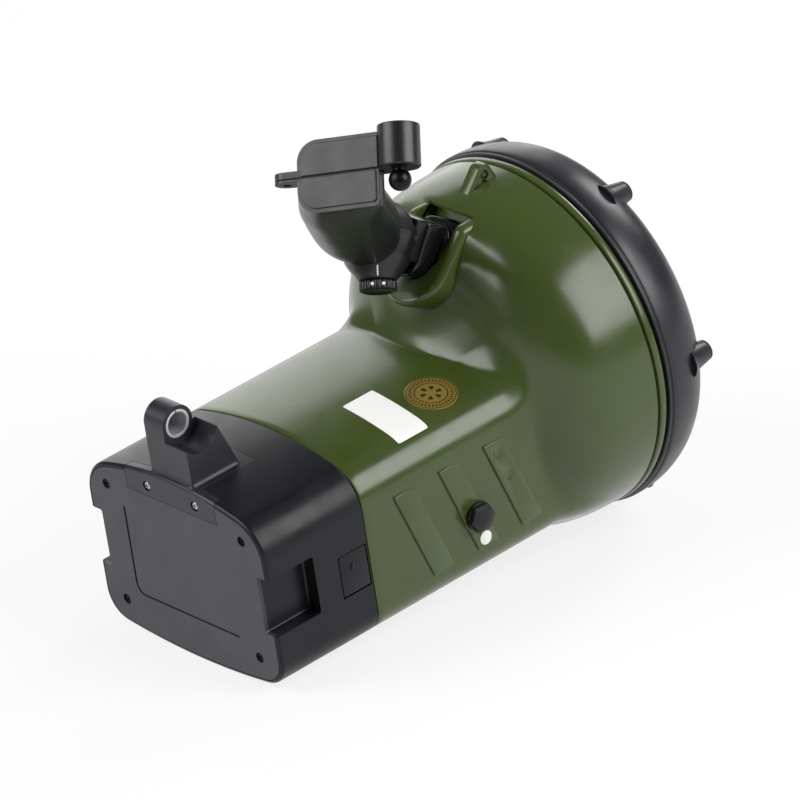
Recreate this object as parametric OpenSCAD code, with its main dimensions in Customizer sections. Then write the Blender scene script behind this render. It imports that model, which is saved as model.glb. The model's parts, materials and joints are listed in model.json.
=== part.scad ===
// Portable searchlight: a green housing with a reflector bell, a battery pack
// that slides into its tail, and a handle that swings about one slanted axis.
// Modelled about the bell axis (Y, light towards +Y) and then set down at rest.

/* [Box section] */
// Half width of the box tail and the battery pack
box_half_w = 77.2; // [74:0.2:80]
// Height of the top arch above the bell axis
box_top = 33; // [31:0.1:35]
// Depth of the bottom arch below the bell axis
box_bottom = 84.2; // [82:0.1:87]
// Radius of the top arch
top_arch_r = 240; // [210:1:280]
// Radius of the bottom arch
bottom_arch_r = 500; // [420:5:600]
// Radius of the two upper edges
top_edge_r = 25; // [22:0.5:28]
// Radius of the two lower edges
bottom_edge_r = 18; // [14:0.5:22]

/* [Battery pack] */
// Length of the pack behind the parting line
pack_len = 74; // [71:0.5:80]
// Wall of the pack shell
pack_wall = 3; // [2.5:0.1:3.5]
// Length of the spigot that enters the housing
spigot_len = 24; // [20:0.5:28]
// Thickness of the rear cover
cover_t = 4; // [3:0.1:5]
// Width of the shell's lip around the rear cover
cover_lip = 2; // [1.6:0.1:2.3]
// Radius of the pack's rear edge
rear_edge_r = 2.5; // [1.5:0.1:3.5]
// Depth of the finger recesses
recess_depth = 9.5; // [7:0.5:11]
// Length of the finger recesses from the rear face
recess_len = 34; // [28:0.5:38]
// Top of the finger recesses
recess_top = -8.3; // [-11:0.1:-6]
// Bottom of the finger recesses
recess_bottom = -45; // [-48:0.5:-42]
// Diameter of a battery cell
cell_d = 18.4; // [18:0.1:18.6]
// Length of a battery cell
cell_len = 65; // [60:0.5:67]
// Spacing of the cells
cell_pitch = 20; // [19.5:0.1:20.5]
// Width of a latch tab along the pack
tab_len = 20.2; // [16:0.2:20.6]
// Height of a latch tab
tab_h = 24.4; // [20:0.2:26]
// Thickness of a latch tab
tab_t = 2.6; // [2:0.1:3]

/* [Housing] */
// Wall of the housing around the battery bay and the bell
wall = 3; // [2.5:0.1:3.5]
// Largest radius of the bell
bell_r = 110; // [106:0.5:114]
// Distance from the rear face to the back of the bell
bell_back = 202.7; // [199:0.1:206]
// Distance from the rear face to the rim of the bell
bell_rim = 282.6; // [278:0.2:288]
// Squareness of the bell's profile, 2 is an ellipse
bell_power = 3.6; // [3:0.1:4.2]
// Length of the flare between the box and the bell
flare_len = 42; // [32:1:50]
// Height of the flare above the box
flare_h = 34; // [26:1:38]
// Length of the battery bay ahead of the parting line
bay_len = 31; // [29:0.5:36]
// Thickness of the bay plate
bay_plate_t = 3; // [2:0.2:4]
// Height that a side panel stands proud at its rear edge
panel_rise = 1.5; // [0.8:0.1:2]
// Width of a side panel along the box
panel_w = 16.6; // [12:0.2:19]
// Spacing of the side panels
panel_pitch = 34.8; // [31:0.2:37]
// Rear top corner of the first side panel
panel_start = 97.2; // [92:0.2:102]

/* [Front] */
// How far the front ring stands out past the bell
ring_proud = 2.8; // [2:0.2:6]
// Length of the front ring
ring_len = 36; // [34:0.2:38]
// Width of the front ring's lip from its outside to its clear opening
ring_lip = 20.8; // [18:0.2:24]
// Thickness of the lens
lens_t = 5; // [4:0.2:6]
// Thickness of the lens gasket
gasket_t = 2.5; // [2:0.1:3]
// Diameter of a rubber foot
foot_d = 11.4; // [9:0.2:12]
// Height of a rubber foot in front of the ring
foot_h = 3; // [2:0.5:6]
// Turn of the feet about the bell axis
foot_turn = 0; // [-10:0.5:10]
// Number of rubber feet
foot_count = 6; // [3:1:8]
// Depth of the reflector
reflector_depth = 84; // [76:0.5:86]
// Thickness of the reflector
reflector_t = 1.6; // [1.2:0.1:2]

/* [Handle] */
// Half width of the grip
grip_half_w = 20.5; // [19:0.5:21.5]
// Radius of the grip's long edges
grip_edge_r = 12; // [9:0.5:14]
// Diameter of the cross barrel
barrel_d = 22.8; // [21:0.1:24]
// Length of the cross barrel
barrel_len = 23; // [20:0.5:26]
// Diameter of the catch ball
ball_d = 12.8; // [12:0.1:13]
// Diameter of the strap hole in the handle's tab
strap_hole_d = 5; // [4.2:0.1:6]
// Angle of the handle away from its catch, as it rests
handle_angle = 114.8; // [60:0.1:160]
// Diameter of the control dial
dial_d = 22; // [18:0.2:24]
// Height of the control dial
dial_h = 5.4; // [4.5:0.1:7]
// Number of ribs around the control dial
dial_ribs = 24; // [12:1:24]

/* [Catch lug] */
// Distance of the catch axis from the rear face
catch_y = 13.7; // [13:0.1:15]
// Height of the catch axis above the bell axis
catch_z = 63.2; // [61:0.2:65]
// Half width of the lug's rear flange
lug_flange_half_w = 38.8; // [36:0.2:41]
// Radius of the rounded top of the lug
lug_head_r = 11; // [10.4:0.1:11.6]
// Width of the lug's head
lug_head_w = 16.5; // [15.6:0.1:18]
// Width of the trough that the barrel rests in
trough_w = 18.5; // [16:0.5:20]
// Outer diameter of the catch bushing
bushing_d = 17; // [16:0.1:18]
// Bore of the catch bushing
bushing_bore = 13.5; // [13.4:0.1:14]
// Length of the catch bushing
bushing_len = 14.5; // [13.5:0.1:15]

/* [Swivel] */
// Slope of the swivel axis above the horizontal
swivel_tilt = 31.8; // [30:0.1:33]
// Distance of the swivel centre from the rear face
swivel_y = 188.8; // [187:0.1:191]
// Height of the swivel centre above the bell axis
swivel_z = 103.8; // [102:0.1:105]
// Radius of the hollow swivel post
post_r = 8; // [7:0.1:9]
// Half width of the boss on the bell
boss_half_w = 22.5; // [21.8:0.1:24]
// Half width of the swivel base
base_half_w = 18.8; // [18:0.1:19]
// Number of ribs on the cable boot
boot_ribs = 4; // [3:1:5]

/* [Charging] */
// Distance of the charging socket from the rear face
socket_y = 154.5; // [150:0.5:158]
// Height of the charging socket relative to the bell axis
socket_z = -39; // [-42:0.5:-34]
// Width of the cap's hexagon across its flats
cap_flats = 15; // [13:0.2:16]
// Diameter of the indicator lens
indicator_d = 8.6; // [7:0.1:9]

/* [Fits] */
// Gap between parts that move past each other
slide_gap = 0.4; // [0.3:0.05:0.5]
// Gap around parts that are set in and fixed
seat_gap = 0.3; // [0.2:0.05:0.4]
// Radial clearance of a turning fit
turn_gap = 0.05; // [0.02:0.01:0.09]

/* [Hidden] */
$fn = 64;

green = [0.20, 0.27, 0.09];
black = [0.09, 0.09, 0.11];
steel = [0.72, 0.72, 0.74];
brass = [0.80, 0.62, 0.28];

// Tangent arcs of the box section
top_c = box_top - top_arch_r;
bottom_c = bottom_arch_r - box_bottom;
top_edge_x = box_half_w - top_edge_r;
bottom_edge_x = box_half_w - bottom_edge_r;
top_edge_z = top_c + sqrt(pow(top_arch_r - top_edge_r, 2) - pow(top_edge_x, 2));
bottom_edge_z = bottom_c - sqrt(pow(bottom_arch_r - bottom_edge_r, 2) - pow(bottom_edge_x, 2));
top_slope = top_edge_x / (top_arch_r - top_edge_r);
bottom_slope = bottom_edge_x / (bottom_arch_r - bottom_edge_r);

// The lamp rests on the ring's rear edge and the pack's lower rear edge
ring_r = bell_r + ring_proud;
ring_bore_r = ring_r - ring_lip;
ring_back = bell_rim;
ring_front = ring_back + ring_len;
rest_pitch = atan((ring_r - box_bottom) / ring_back);

// Lengths along the bell axis
housing_rear = pack_len + slide_gap;
spigot_front = pack_len + spigot_len;
bay_end = pack_len + bay_len;
tail_end = bell_back - 4;
cavity_inset = 2 * wall;
flare_end = bell_back + 4;
flare_start = flare_end - flare_len;
bell_len = bell_rim - bell_back;

// Stack behind the lens
stack_r = ring_r - 8;
lip_back = ring_front - 6;
lens_front = lip_back - gasket_t;
lens_back = lens_front - lens_t;
flange_t = 2.4;
sleeve_front = lens_back - flange_t;
sleeve_r = ring_r - 5;
sleeve_wall = 5.5;
reflector_r = sleeve_r - sleeve_wall - 4;
reflector_vertex = sleeve_front - reflector_depth;

// Swivel stations, measured along the slanted axis from its centre
knuckle_face = -1;
base_face = knuckle_face - slide_gap;
base_back = -26;
boot_front = -28;
pocket_floor = -44;
boss_face = -14.6;
pocket_r = 19.3;
base_top = 13.5;
base_drop = 13;
bush_r = 13;
bush_end = 8.6;
nut_end = 14;
knuckle_r = 20;
knuckle_end = 24;

// Places on the two sides of the handle's hub
dial_y = 183;
dial_z = 113.6;
dial_seat_x = -27;
dial_shaft_r = 3;

// Screw sizes
screw_head_r = 2.75;
screw_head_h = 2;
screw_r = 1.5;
cover_screw_places = [[-58.9, 11.8], [58.9, 11.8], [-58.2, -64.3], [58.2, -64.3]];
lug_screw_x = 20.8;
lug_screw_z = 22.4;
handle_screw_places = [[46.9, 106.3], [92.3, 109.7], [137.6, 112.2]];

// Pack inside
shelf_bottom = 18.2;
shelf_top = 26.4;
lug_plate_bottom = shelf_top;
lug_plate_half_w = 24;
lug_plate_len = 46;
cell_columns = 5;
cell_rows = 4;
cell_centre_z = -32;
cell_start = 12;
tray_t = 4;

// Skin of the housing
skin_points = 96;
blend = 8;
flare_steps = [0, 0.3, 0.5, 0.68, 0.82, 0.92, 0.98, 1];
skin_end = bell_rim - 8.5;
bell_steps = [0.08, 0.14, 0.22, 0.33, 0.46, 0.63, 0.82, 1];

// Placing

module at_rest() {
    translate([0, -(ring_back * cos(rest_pitch) + ring_r * sin(rest_pitch)),
        ring_r * cos(rest_pitch) - ring_back * sin(rest_pitch)])
        rotate([rest_pitch, 0, 0]) children();
}

module on_swivel() {
    translate([0, swivel_y, swivel_z]) rotate([90 - swivel_tilt, 0, 0]) children();
}

module swung() {
    on_swivel() rotate([0, 0, handle_angle]) rotate([swivel_tilt - 90, 0, 0])
        translate([0, -swivel_y, -swivel_z]) children();
}

module along_y(from, to) {
    translate([0, to, 0]) rotate([90, 0, 0]) linear_extrude(to - from) children();
}

module along_x(from, to) {
    translate([from, 0, 0]) rotate([90, 0, 90]) linear_extrude(to - from) children();
}

module turned_y() {
    rotate([-90, 0, 0]) rotate_extrude($fn = 128) children();
}

// A rod along X between two places
module rod_x(r, from, to, y, z) {
    translate([from, y, z]) rotate([0, 90, 0]) cylinder(r = r, h = to - from);
}

// A rod along Y between two places
module rod_y(r, from, to, x, z) {
    translate([x, from, z]) rotate([-90, 0, 0]) cylinder(r = r, h = to - from);
}

// A block between two corners
module block(low, high) {
    translate(low) cube(high - low);
}

// A solid skin over a row of sections with as many points each
module loft(sections) {
    count = len(sections[0]);
    last = (len(sections) - 1) * count;
    points = [for (section = sections, p = section) p];
    sides = [for (k = [0:len(sections) - 2], i = [0:count - 1], half = [0, 1])
        let (a = k * count + i, b = k * count + (i + 1) % count)
        half == 0 ? [a, a + count, b] : [b, a + count, b + count]];
    start = [for (i = [0:count - 1]) i];
    finish = [for (i = [count - 1:-1:0]) last + i];
    polyhedron(points, concat(sides, [start, finish]), convexity = 8);
}

// Box section

module box_section(inset = 0) {
    half_w = box_half_w - inset;
    top_half_w = (top_arch_r - inset) * top_slope;
    bottom_half_w = (bottom_arch_r - inset) * bottom_slope;
    lap = 1;
    intersection() {
        union() {
            intersection() {
                translate([0, top_c]) circle(top_arch_r - inset, $fn = 256);
                translate([-top_half_w, top_edge_z - lap]) square([2 * top_half_w, top_arch_r]);
            }
            for (side = [-1, 1]) translate([side * top_edge_x, top_edge_z]) circle(top_edge_r - inset);
            translate([-half_w, -2 * box_bottom]) square([2 * half_w, 2 * box_bottom + top_edge_z]);
        }
        union() {
            intersection() {
                translate([0, bottom_c]) circle(bottom_arch_r - inset, $fn = 256);
                translate([-bottom_half_w, bottom_edge_z + lap - bottom_arch_r])
                    square([2 * bottom_half_w, bottom_arch_r]);
            }
            for (side = [-1, 1])
                translate([side * bottom_edge_x, bottom_edge_z]) circle(bottom_edge_r - inset);
            translate([-half_w, bottom_edge_z]) square([2 * half_w, 2 * box_bottom]);
        }
    }
}

// Points of the box's outline, from the top centre clockwise as seen from behind
function box_points(inset) =
    let (top_turn = asin(top_slope), bottom_turn = asin(bottom_slope),
        right = concat(
            [for (i = [0:7]) let (turn = top_turn * i / 8)
                [(top_arch_r - inset) * sin(turn), top_c + (top_arch_r - inset) * cos(turn)]],
            [for (i = [0:8]) let (turn = top_turn + (90 - top_turn) * i / 8)
                [top_edge_x + (top_edge_r - inset) * sin(turn), top_edge_z + (top_edge_r - inset) * cos(turn)]],
            [for (i = [8:-1:0]) let (turn = bottom_turn + (90 - bottom_turn) * i / 8)
                [bottom_edge_x + (bottom_edge_r - inset) * sin(turn),
                    bottom_edge_z - (bottom_edge_r - inset) * cos(turn)]],
            [for (i = [7:-1:0]) let (turn = bottom_turn * i / 8)
                [(bottom_arch_r - inset) * sin(turn), bottom_c - (bottom_arch_r - inset) * cos(turn)]]),
        last = len(right) - 1)
    concat(right, [for (i = [last - 1:-1:1]) [-right[i][0], right[i][1]]]);

// A slice of the box whose rear edge is rounded
module round_rear(r) {
    step = 0.04;
    rows = [for (turn = [0, 30, 60, 90]) [r * (1 - sin(turn)) + step, r * (1 - cos(turn))]];
    loft([for (row = concat(rows, [[step, r + 1]])) [for (p = box_points(row[0])) [p[0], row[1], p[1]]]]);
}

// Distance from the axis to a circle along a direction
function ray_circle(d, c, r) = d * c + sqrt(pow(d * c, 2) - c * c + r * r);

// Distance from the bell axis to the box's outline, angle 0 is up
function box_reach(angle) =
    let (d = [abs(sin(angle)), cos(angle)], up = d[1] > 0,
        arch = up ? ray_circle(d, [0, top_c], top_arch_r) : ray_circle(d, [0, bottom_c], bottom_arch_r),
        reach = min(arch, box_half_w / max(d[0], 0.001)), p = d * reach)
    p[1] > top_edge_z && p[0] > top_arch_r * top_slope ?
        ray_circle(d, [top_edge_x, top_edge_z], top_edge_r) :
    p[1] < bottom_edge_z && p[0] > bottom_arch_r * bottom_slope ?
        ray_circle(d, [bottom_edge_x, bottom_edge_z], bottom_edge_r) : reach;

// Radius of the bell at a distance from the rear face, drawn in by the wall
function bell_radius(y, inset = 0) =
    let (depth = max(0, bell_rim - y) / (bell_len - inset))
    depth >= 1 ? 0 : (bell_r - inset) * pow(1 - pow(depth, bell_power), 1 / bell_power);

function flare_reach(angle, share) =
    let (box = box_reach(angle), rise = min(flare_h, max(0, bell_radius(flare_end + 4) - box)))
    box + rise * (1 - sqrt(1 - share * share));

// How far the box has sunk into the bell, so that its corners end short of the rim
function rim_sink(y) = blend * pow(max(0, y - flare_end - 18) / (skin_end - flare_end - 18), 2);

// The larger of two lengths, eased where they are close
function soft_max(a, b, k) =
    let (near = max(0, k - abs(a - b)) / k) max(a, b) + near * near * k / 4;

function ring_of(y, reach) = [for (i = [0:skin_points - 1])
    let (angle = 360 * i / skin_points) [reach[i] * sin(angle), y, reach[i] * cos(angle)]];

function box_ring(y, share) =
    ring_of(y, [for (i = [0:skin_points - 1])
        soft_max(bell_radius(y), flare_reach(360 * i / skin_points, share) - rim_sink(y), blend)]);

// Main housing

module housing_skin() {
    loft(concat([box_ring(housing_rear, 0)],
        [for (share = flare_steps) box_ring(flare_start + share * flare_len, share)],
        [for (step = bell_steps) box_ring(flare_end + step * (skin_end - flare_end), 1)]));
}

module bell_rim_band() {
    turned_y() polygon([[bell_r - wall, bell_rim - 12], [bell_r - 1, bell_rim - 12],
        [bell_r - 1, bell_rim - 6.5], [bell_r + 0.8, bell_rim - 5.5], [bell_r + 0.8, bell_rim],
        [sleeve_r - seat_gap, bell_rim], [sleeve_r - seat_gap, sleeve_front],
        [sleeve_r - sleeve_wall, sleeve_front], [sleeve_r - sleeve_wall, bell_rim - 4]]);
}

module bell_hollow() {
    hollow_rows = [for (step = [0.01, 0.04, 0.1, 0.2, 0.32, 0.46, 0.62, 0.8, 0.93])
        bell_back + wall + step * (bell_len - wall)];
    turned_y() polygon(concat([[0, hollow_rows[0]]],
        [for (y = hollow_rows) [bell_radius(y, wall), y]],
        [[sleeve_r - sleeve_wall, bell_rim - 3], [sleeve_r - sleeve_wall, sleeve_front + 1],
            [0, sleeve_front + 1]]));
}

// The boss is a U-shaped cup along the swivel axis, cut to a slanted rim
module boss() {
    rim_low = [swivel_y + 6.1, swivel_z - 28.4];
    rim_lean = 45.5;
    boss_top = swivel_z - 2.6;
    boss_drop = 15;
    intersection() {
        on_swivel() translate([0, 0, -60]) linear_extrude(60 + boss_face) {
            translate([0, -boss_drop]) circle(boss_half_w);
            translate([-boss_half_w, -boss_drop]) square([2 * boss_half_w, boss_drop + 70]);
        }
        translate([-50, rim_low[0], rim_low[1]]) rotate([rim_lean, 0, 0])
            translate([0, -100, -100]) cube([100, 200, 100]);
        block([-50, swivel_y - 40, 0], [50, bell_rim, boss_top]);
    }
}

// Outline of the swivel's seat, looking along its axis
module seat_outline(half_w, top) {
    translate([0, -base_drop]) circle(half_w);
    translate([-half_w, -base_drop]) square([2 * half_w, base_drop + top]);
}

module pocket_outline(r, top) {
    circle(r);
    translate([-r, 0]) square([2 * r, top]);
}

module swivel_pocket_wall() {
    intersection() {
        on_swivel() translate([0, 0, pocket_floor - wall]) linear_extrude(30)
            pocket_outline(pocket_r + wall, 60);
        turned_y() polygon(concat([[0, bell_back + 1]],
            [for (step = [0.02, 0.06, 0.13, 0.24, 0.36, 0.5, 0.65])
                let (y = bell_back + 1 + step * bell_len) [bell_radius(y, 0.8), y]],
            [[0, bell_back + 0.65 * bell_len + 1]]));
    }
}

module swivel_pocket() {
    on_swivel() {
        translate([0, 0, base_back]) linear_extrude(60) seat_outline(base_half_w + seat_gap, 60);
        translate([0, 0, pocket_floor]) linear_extrude(60) pocket_outline(pocket_r, 60);
        translate([0, 0, pocket_floor - 2 * wall]) cylinder(r = 5, h = 3 * wall);
    }
}

module side_panel(number) {
    lean = 20.8;
    low = -61.5;
    high = -0.4;
    y = panel_start + number * panel_pitch;
    intersection() {
        translate([box_half_w, y + panel_w, 0]) rotate([0, 0, atan(panel_rise / panel_w)])
            translate([-6, -y - panel_w, 0]) along_x(0, 6)
            polygon([[y, high], [y + panel_w, high], [y + panel_w + lean, low], [y + lean, low]]);
        along_y(housing_rear, bell_back) box_section(-panel_rise);
    }
}

module strap_eye() {
    eye_y = bell_rim - 25;
    eye_z = bell_r + 4;
    along_x(-3.5, 3.5) difference() {
        union() {
            translate([eye_y, eye_z]) circle(6.5);
            polygon([[eye_y - 15, bell_r - 3.2], [eye_y - 4, eye_z + 5], [eye_y + 4, eye_z + 5],
                [eye_y + 13, bell_r - 2]]);
        }
        translate([eye_y, eye_z]) circle(3.2);
    }
}

socket_pad = 1.4;
socket_r = 6.7;

module main_housing() {
    color(green) at_rest() difference() {
        union() {
            difference() {
                union() {
                    housing_skin();
                    bell_rim_band();
                    boss();
                    strap_eye();
                    for (number = [0:2], side = [0, 1]) mirror([side, 0, 0]) side_panel(number);
                    rod_x(10.5, box_half_w - 4, box_half_w + socket_pad, socket_y, socket_z);
                }
                along_y(housing_rear - 1, bay_end) box_section(wall);
                along_y(bay_end - 1, tail_end) box_section(cavity_inset);
                bell_hollow();
            }
            swivel_pocket_wall();
        }
        swivel_pocket();
        rod_y(8, tail_end - 1, bell_back + 10, 0, 0);
        rod_x(socket_r + seat_gap, box_half_w - 8, box_half_w + 3, socket_y, socket_z);
        rod_x(indicator_d / 2 + seat_gap / 3, box_half_w - 10, box_half_w + 3, socket_y + 4, socket_z - 16.5);
    }
}

// Front of the lamp

module front_ring() {
    crown = ring_back + 6.5;
    crown_len = (ring_front - crown) / 0.95;
    crown_drop = 21;
    color(black) at_rest() difference() {
        union() {
            turned_y() polygon(concat(
                [[sleeve_r, ring_back], [ring_r - 1, ring_back], [ring_r, ring_back + 1]],
                [for (share = [0, 0.2, 0.36, 0.5, 0.63, 0.75, 0.86, 0.95])
                    [ring_r - crown_drop + crown_drop * sqrt(1 - share * share), crown + share * crown_len]],
                [[ring_bore_r, ring_front], [ring_bore_r, lip_back], [stack_r, lip_back],
                    [stack_r, sleeve_front], [sleeve_r, sleeve_front]]));
            foot_places() foot_boss();
        }
        turned_y() polygon([[0, sleeve_front], [stack_r, sleeve_front], [stack_r, lip_back],
            [ring_bore_r, lip_back], [ring_bore_r, ring_front + 20], [0, ring_front + 20]]);
        foot_places() translate([0, 0, pad_back - plug_len]) cylinder(r = plug_r, h = 20);
    }
}

foot_circle_r = ring_r - 9.8;
pad_back = ring_front + foot_h - 2.4;
plug_r = 3;
plug_len = 4;

module foot_places() {
    for (i = [0:foot_count - 1])
        rotate([-90, 0, 0]) rotate([0, 0, 360 * (i + 0.5) / foot_count - 90 + foot_turn])
            translate([foot_circle_r, 0, 0]) children();
}

// A tapered boss of the ring under each foot
module foot_boss() {
    boss_back = ring_front - 15;
    rotate_extrude()
        polygon([[0, boss_back], [foot_d / 2 + 2.8, boss_back], [foot_d / 2, pad_back], [0, pad_back]]);
}

module ring_feet() {
    tip = ring_front + foot_h;
    round_r = 1.2;
    color([0.06, 0.06, 0.07]) at_rest() foot_places() rotate_extrude() polygon(concat(
        [[0, pad_back - plug_len], [plug_r, pad_back - plug_len], [plug_r, pad_back],
            [foot_d / 2 - 0.3, pad_back]],
        [for (turn = [0:22.5:90])
            [foot_d / 2 - 0.3 - round_r + round_r * cos(turn), tip - round_r + round_r * sin(turn)]],
        [[0, tip]]));
}

module lens_glass() {
    color([0.8, 0.88, 0.9, 0.4]) at_rest()
        rod_y(stack_r - seat_gap, lens_back, lens_front, 0, 0, $fn = 128);
}

module lens_gasket() {
    color([0.12, 0.12, 0.12]) at_rest() turned_y()
        translate([ring_bore_r + 1, lens_front]) square([stack_r - seat_gap - ring_bore_r - 1, gasket_t]);
}

reflector_neck_r = 13;

// A parabola: radius squared grows with the distance from the vertex
function reflector_y(r) = reflector_vertex + reflector_depth * pow(r / reflector_r, 2);

module reflector() {
    rows = [for (i = [0:12]) reflector_neck_r + (reflector_r - reflector_neck_r) * i / 12];
    color([0.85, 0.86, 0.88]) at_rest() turned_y() polygon(concat(
        [for (r = rows) [r, reflector_y(r)]],
        [[reflector_r, lens_back], [stack_r - seat_gap, lens_back], [stack_r - seat_gap, sleeve_front],
            [reflector_r + reflector_t, sleeve_front]],
        [for (i = [12:-1:0]) [rows[i] + reflector_t, reflector_y(rows[i]) - reflector_t / 2]]));
}

holder_back = bell_back + wall + 0.01 * (bell_len - wall);
holder_front = reflector_vertex + 2;
bulb_base_r = 10;

module lamp_holder() {
    inner_r = bulb_base_r - 1;
    flange_r = bulb_base_r + 7;
    outer_r = bulb_base_r + 2.6;
    seat_r = bulb_base_r + seat_gap;
    color([0.75, 0.73, 0.68]) at_rest() turned_y() polygon([
        [inner_r, holder_back], [flange_r, holder_back], [flange_r, holder_back + 4], [outer_r, holder_back + 4],
        [outer_r, holder_front], [seat_r, holder_front], [seat_r, holder_back + 3], [inner_r, holder_back + 3]]);
}

module bulb_base() {
    color([0.9, 0.88, 0.82]) at_rest() turned_y() polygon([[0, holder_back + 3], [bulb_base_r, holder_back + 3],
        [bulb_base_r, holder_front + 8], [8, holder_front + 10], [0, holder_front + 10]]);
}

module lamp_bulb() {
    seat = holder_front + 10;
    tube_r = 6.4;
    tube_len = 26;
    color([0.85, 0.9, 0.95, 0.5]) at_rest() turned_y() polygon(concat(
        [[0, seat], [tube_r - 2, seat], [tube_r, seat + 4]],
        [for (turn = [0:15:90]) [tube_r * cos(turn), seat + tube_len + tube_r * sin(turn)]]));
}

// Tail of the lamp

module driver_module() {
    half_w = box_half_w - 29.2;
    start = bay_end + 13;
    low = 22.2 - box_bottom;
    high = low + 40;
    fin_count = 7;
    fin_w = 6;
    fin_h = 6;
    fin_pitch = (2 * (half_w - fin_w) - fin_w) / (fin_count - 1);
    color([0.18, 0.19, 0.2]) at_rest() difference() {
        union() {
            block([-half_w, start, low], [half_w, tail_end, high]);
            for (i = [0:fin_count - 1]) let (x = fin_w - half_w + fin_pitch * i)
                block([x, start, high], [x + fin_w, tail_end - 22.7, high + fin_h]);
        }
        rod_y(4, tail_end - 10, tail_end + 1, 0, low + 32);
    }
}

module bay_plate() {
    color(black) at_rest() difference() {
        along_y(bay_end - bay_plate_t, bay_end) box_section(wall + seat_gap);
        rod_y(4, bay_end - 10, bay_end + 1, 0, -60);
    }
}

contact_x = 26;
contact_z = -30;
terminal_t = 1.2;

module bay_contacts() {
    color(brass) at_rest() for (side = [-1, 1])
        block([side * contact_x - 5, spigot_front + terminal_t + slide_gap, contact_z - 9],
            [side * contact_x + 5, bay_end - bay_plate_t, contact_z + 9]);
}

socket_out = box_half_w + socket_pad + 1.6;

module charge_socket() {
    flange_x = box_half_w - cavity_inset;
    color([0.15, 0.15, 0.16]) at_rest() {
        difference() {
            union() {
                rod_x(9, flange_x - 3, flange_x, socket_y, socket_z);
                rod_x(socket_r, flange_x - 3, socket_out, socket_y, socket_z);
            }
            rod_x(4.5, flange_x, socket_out + 1, socket_y, socket_z);
        }
        rod_x(1.25, flange_x - 0.5, socket_out - 1, socket_y, socket_z);
    }
}

module charge_cap() {
    seat_x = box_half_w + socket_pad + seat_gap;
    hex_x = seat_x + 2.6;
    hex_h = 4.6;
    color([0.05, 0.05, 0.06]) at_rest() difference() {
        translate([0, socket_y, socket_z]) rotate([0, 90, 0]) union() {
            translate([0, 0, seat_x]) cylinder(r = 8.6, h = hex_x - seat_x);
            intersection() {
                translate([0, 0, hex_x]) rotate([0, 0, 30])
                    cylinder(r = cap_flats / sqrt(3), h = hex_h, $fn = 6);
                translate([0, 0, hex_x + hex_h - 20]) sphere(20);
            }
        }
        rod_x(socket_r + seat_gap, seat_x - 1, socket_out + seat_gap, socket_y, socket_z);
    }
}

module indicator_lens() {
    lens_x = box_half_w - 5.2;
    color([0.92, 0.93, 0.9]) at_rest() intersection() {
        rod_x(indicator_d / 2, lens_x, box_half_w + 1, socket_y + 4, socket_z - 16.5);
        translate([box_half_w + 1 - 14, socket_y + 4, socket_z - 16.5]) sphere(14);
    }
}

// Swivel

module swivel_base() {
    color(black) at_rest() on_swivel() difference() {
        union() {
            translate([0, 0, base_back]) linear_extrude(base_face - 1.6 - base_back)
                seat_outline(base_half_w, base_top);
            cylinder_from(bush_r + 0.5, base_face - 1.6, base_face);
        }
        cylinder_from(post_r, base_back + 3, 0);
        cylinder_from(post_r - 3, base_back - 1, 0);
    }
}

// A cylinder along the local axis between two stations
module cylinder_from(r, from, to) {
    translate([0, 0, from]) cylinder(r = r, h = to - from);
}

module swivel_post() {
    color(steel) at_rest() on_swivel() difference() {
        cylinder_from(post_r, base_back + 3, nut_end);
        cylinder_from(post_r - 3, base_back, nut_end + 1);
    }
}

module swivel_nut() {
    color(steel) at_rest() on_swivel() difference() {
        cylinder_from(bush_r - 0.6, bush_end + seat_gap, nut_end - 0.6, $fn = 64);
        cylinder_from(post_r, bush_end, nut_end);
    }
}

module cable_boot() {
    rib_out = pocket_r - 1.6;
    rib_in = rib_out - 3.2;
    boot_back = pocket_floor;
    pitch = (base_back - boot_back) / boot_ribs;
    color([0.07, 0.07, 0.08]) at_rest() on_swivel() rotate_extrude() polygon(concat(
        [[post_r - 1, boot_back]],
        [for (i = [0:boot_ribs - 1], p = [[rib_in, 0.02], [rib_out, 0.25], [rib_out, 0.6], [rib_in, 0.85]])
            [p[0], boot_back + pitch * (i + p[1])]],
        [[rib_in, base_back], [post_r - 1, base_back]]));
}

// Battery pack

module recess_block(grow) {
    floor_x = box_half_w - recess_depth - grow;
    block([floor_x, -1, recess_bottom - grow], [box_half_w + 5, recess_len + grow, recess_top + grow]);
}

module both_sides() {
    for (side = [0, 1]) mirror([side, 0, 0]) children();
}

tab_front = pack_len - 1.8;
tab_top = -19;
tab_bottom = tab_top - tab_h;

module lug_cut(gap) {
    block([-lug_flange_half_w - gap, -1, lug_screw_z - 6.4 - gap],
        [lug_flange_half_w + gap, 6 + gap, box_top + 5]);
    block([-lug_plate_half_w - gap, -1, lug_plate_bottom],
        [lug_plate_half_w + gap, lug_plate_len + gap, box_top + 5]);
}

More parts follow.
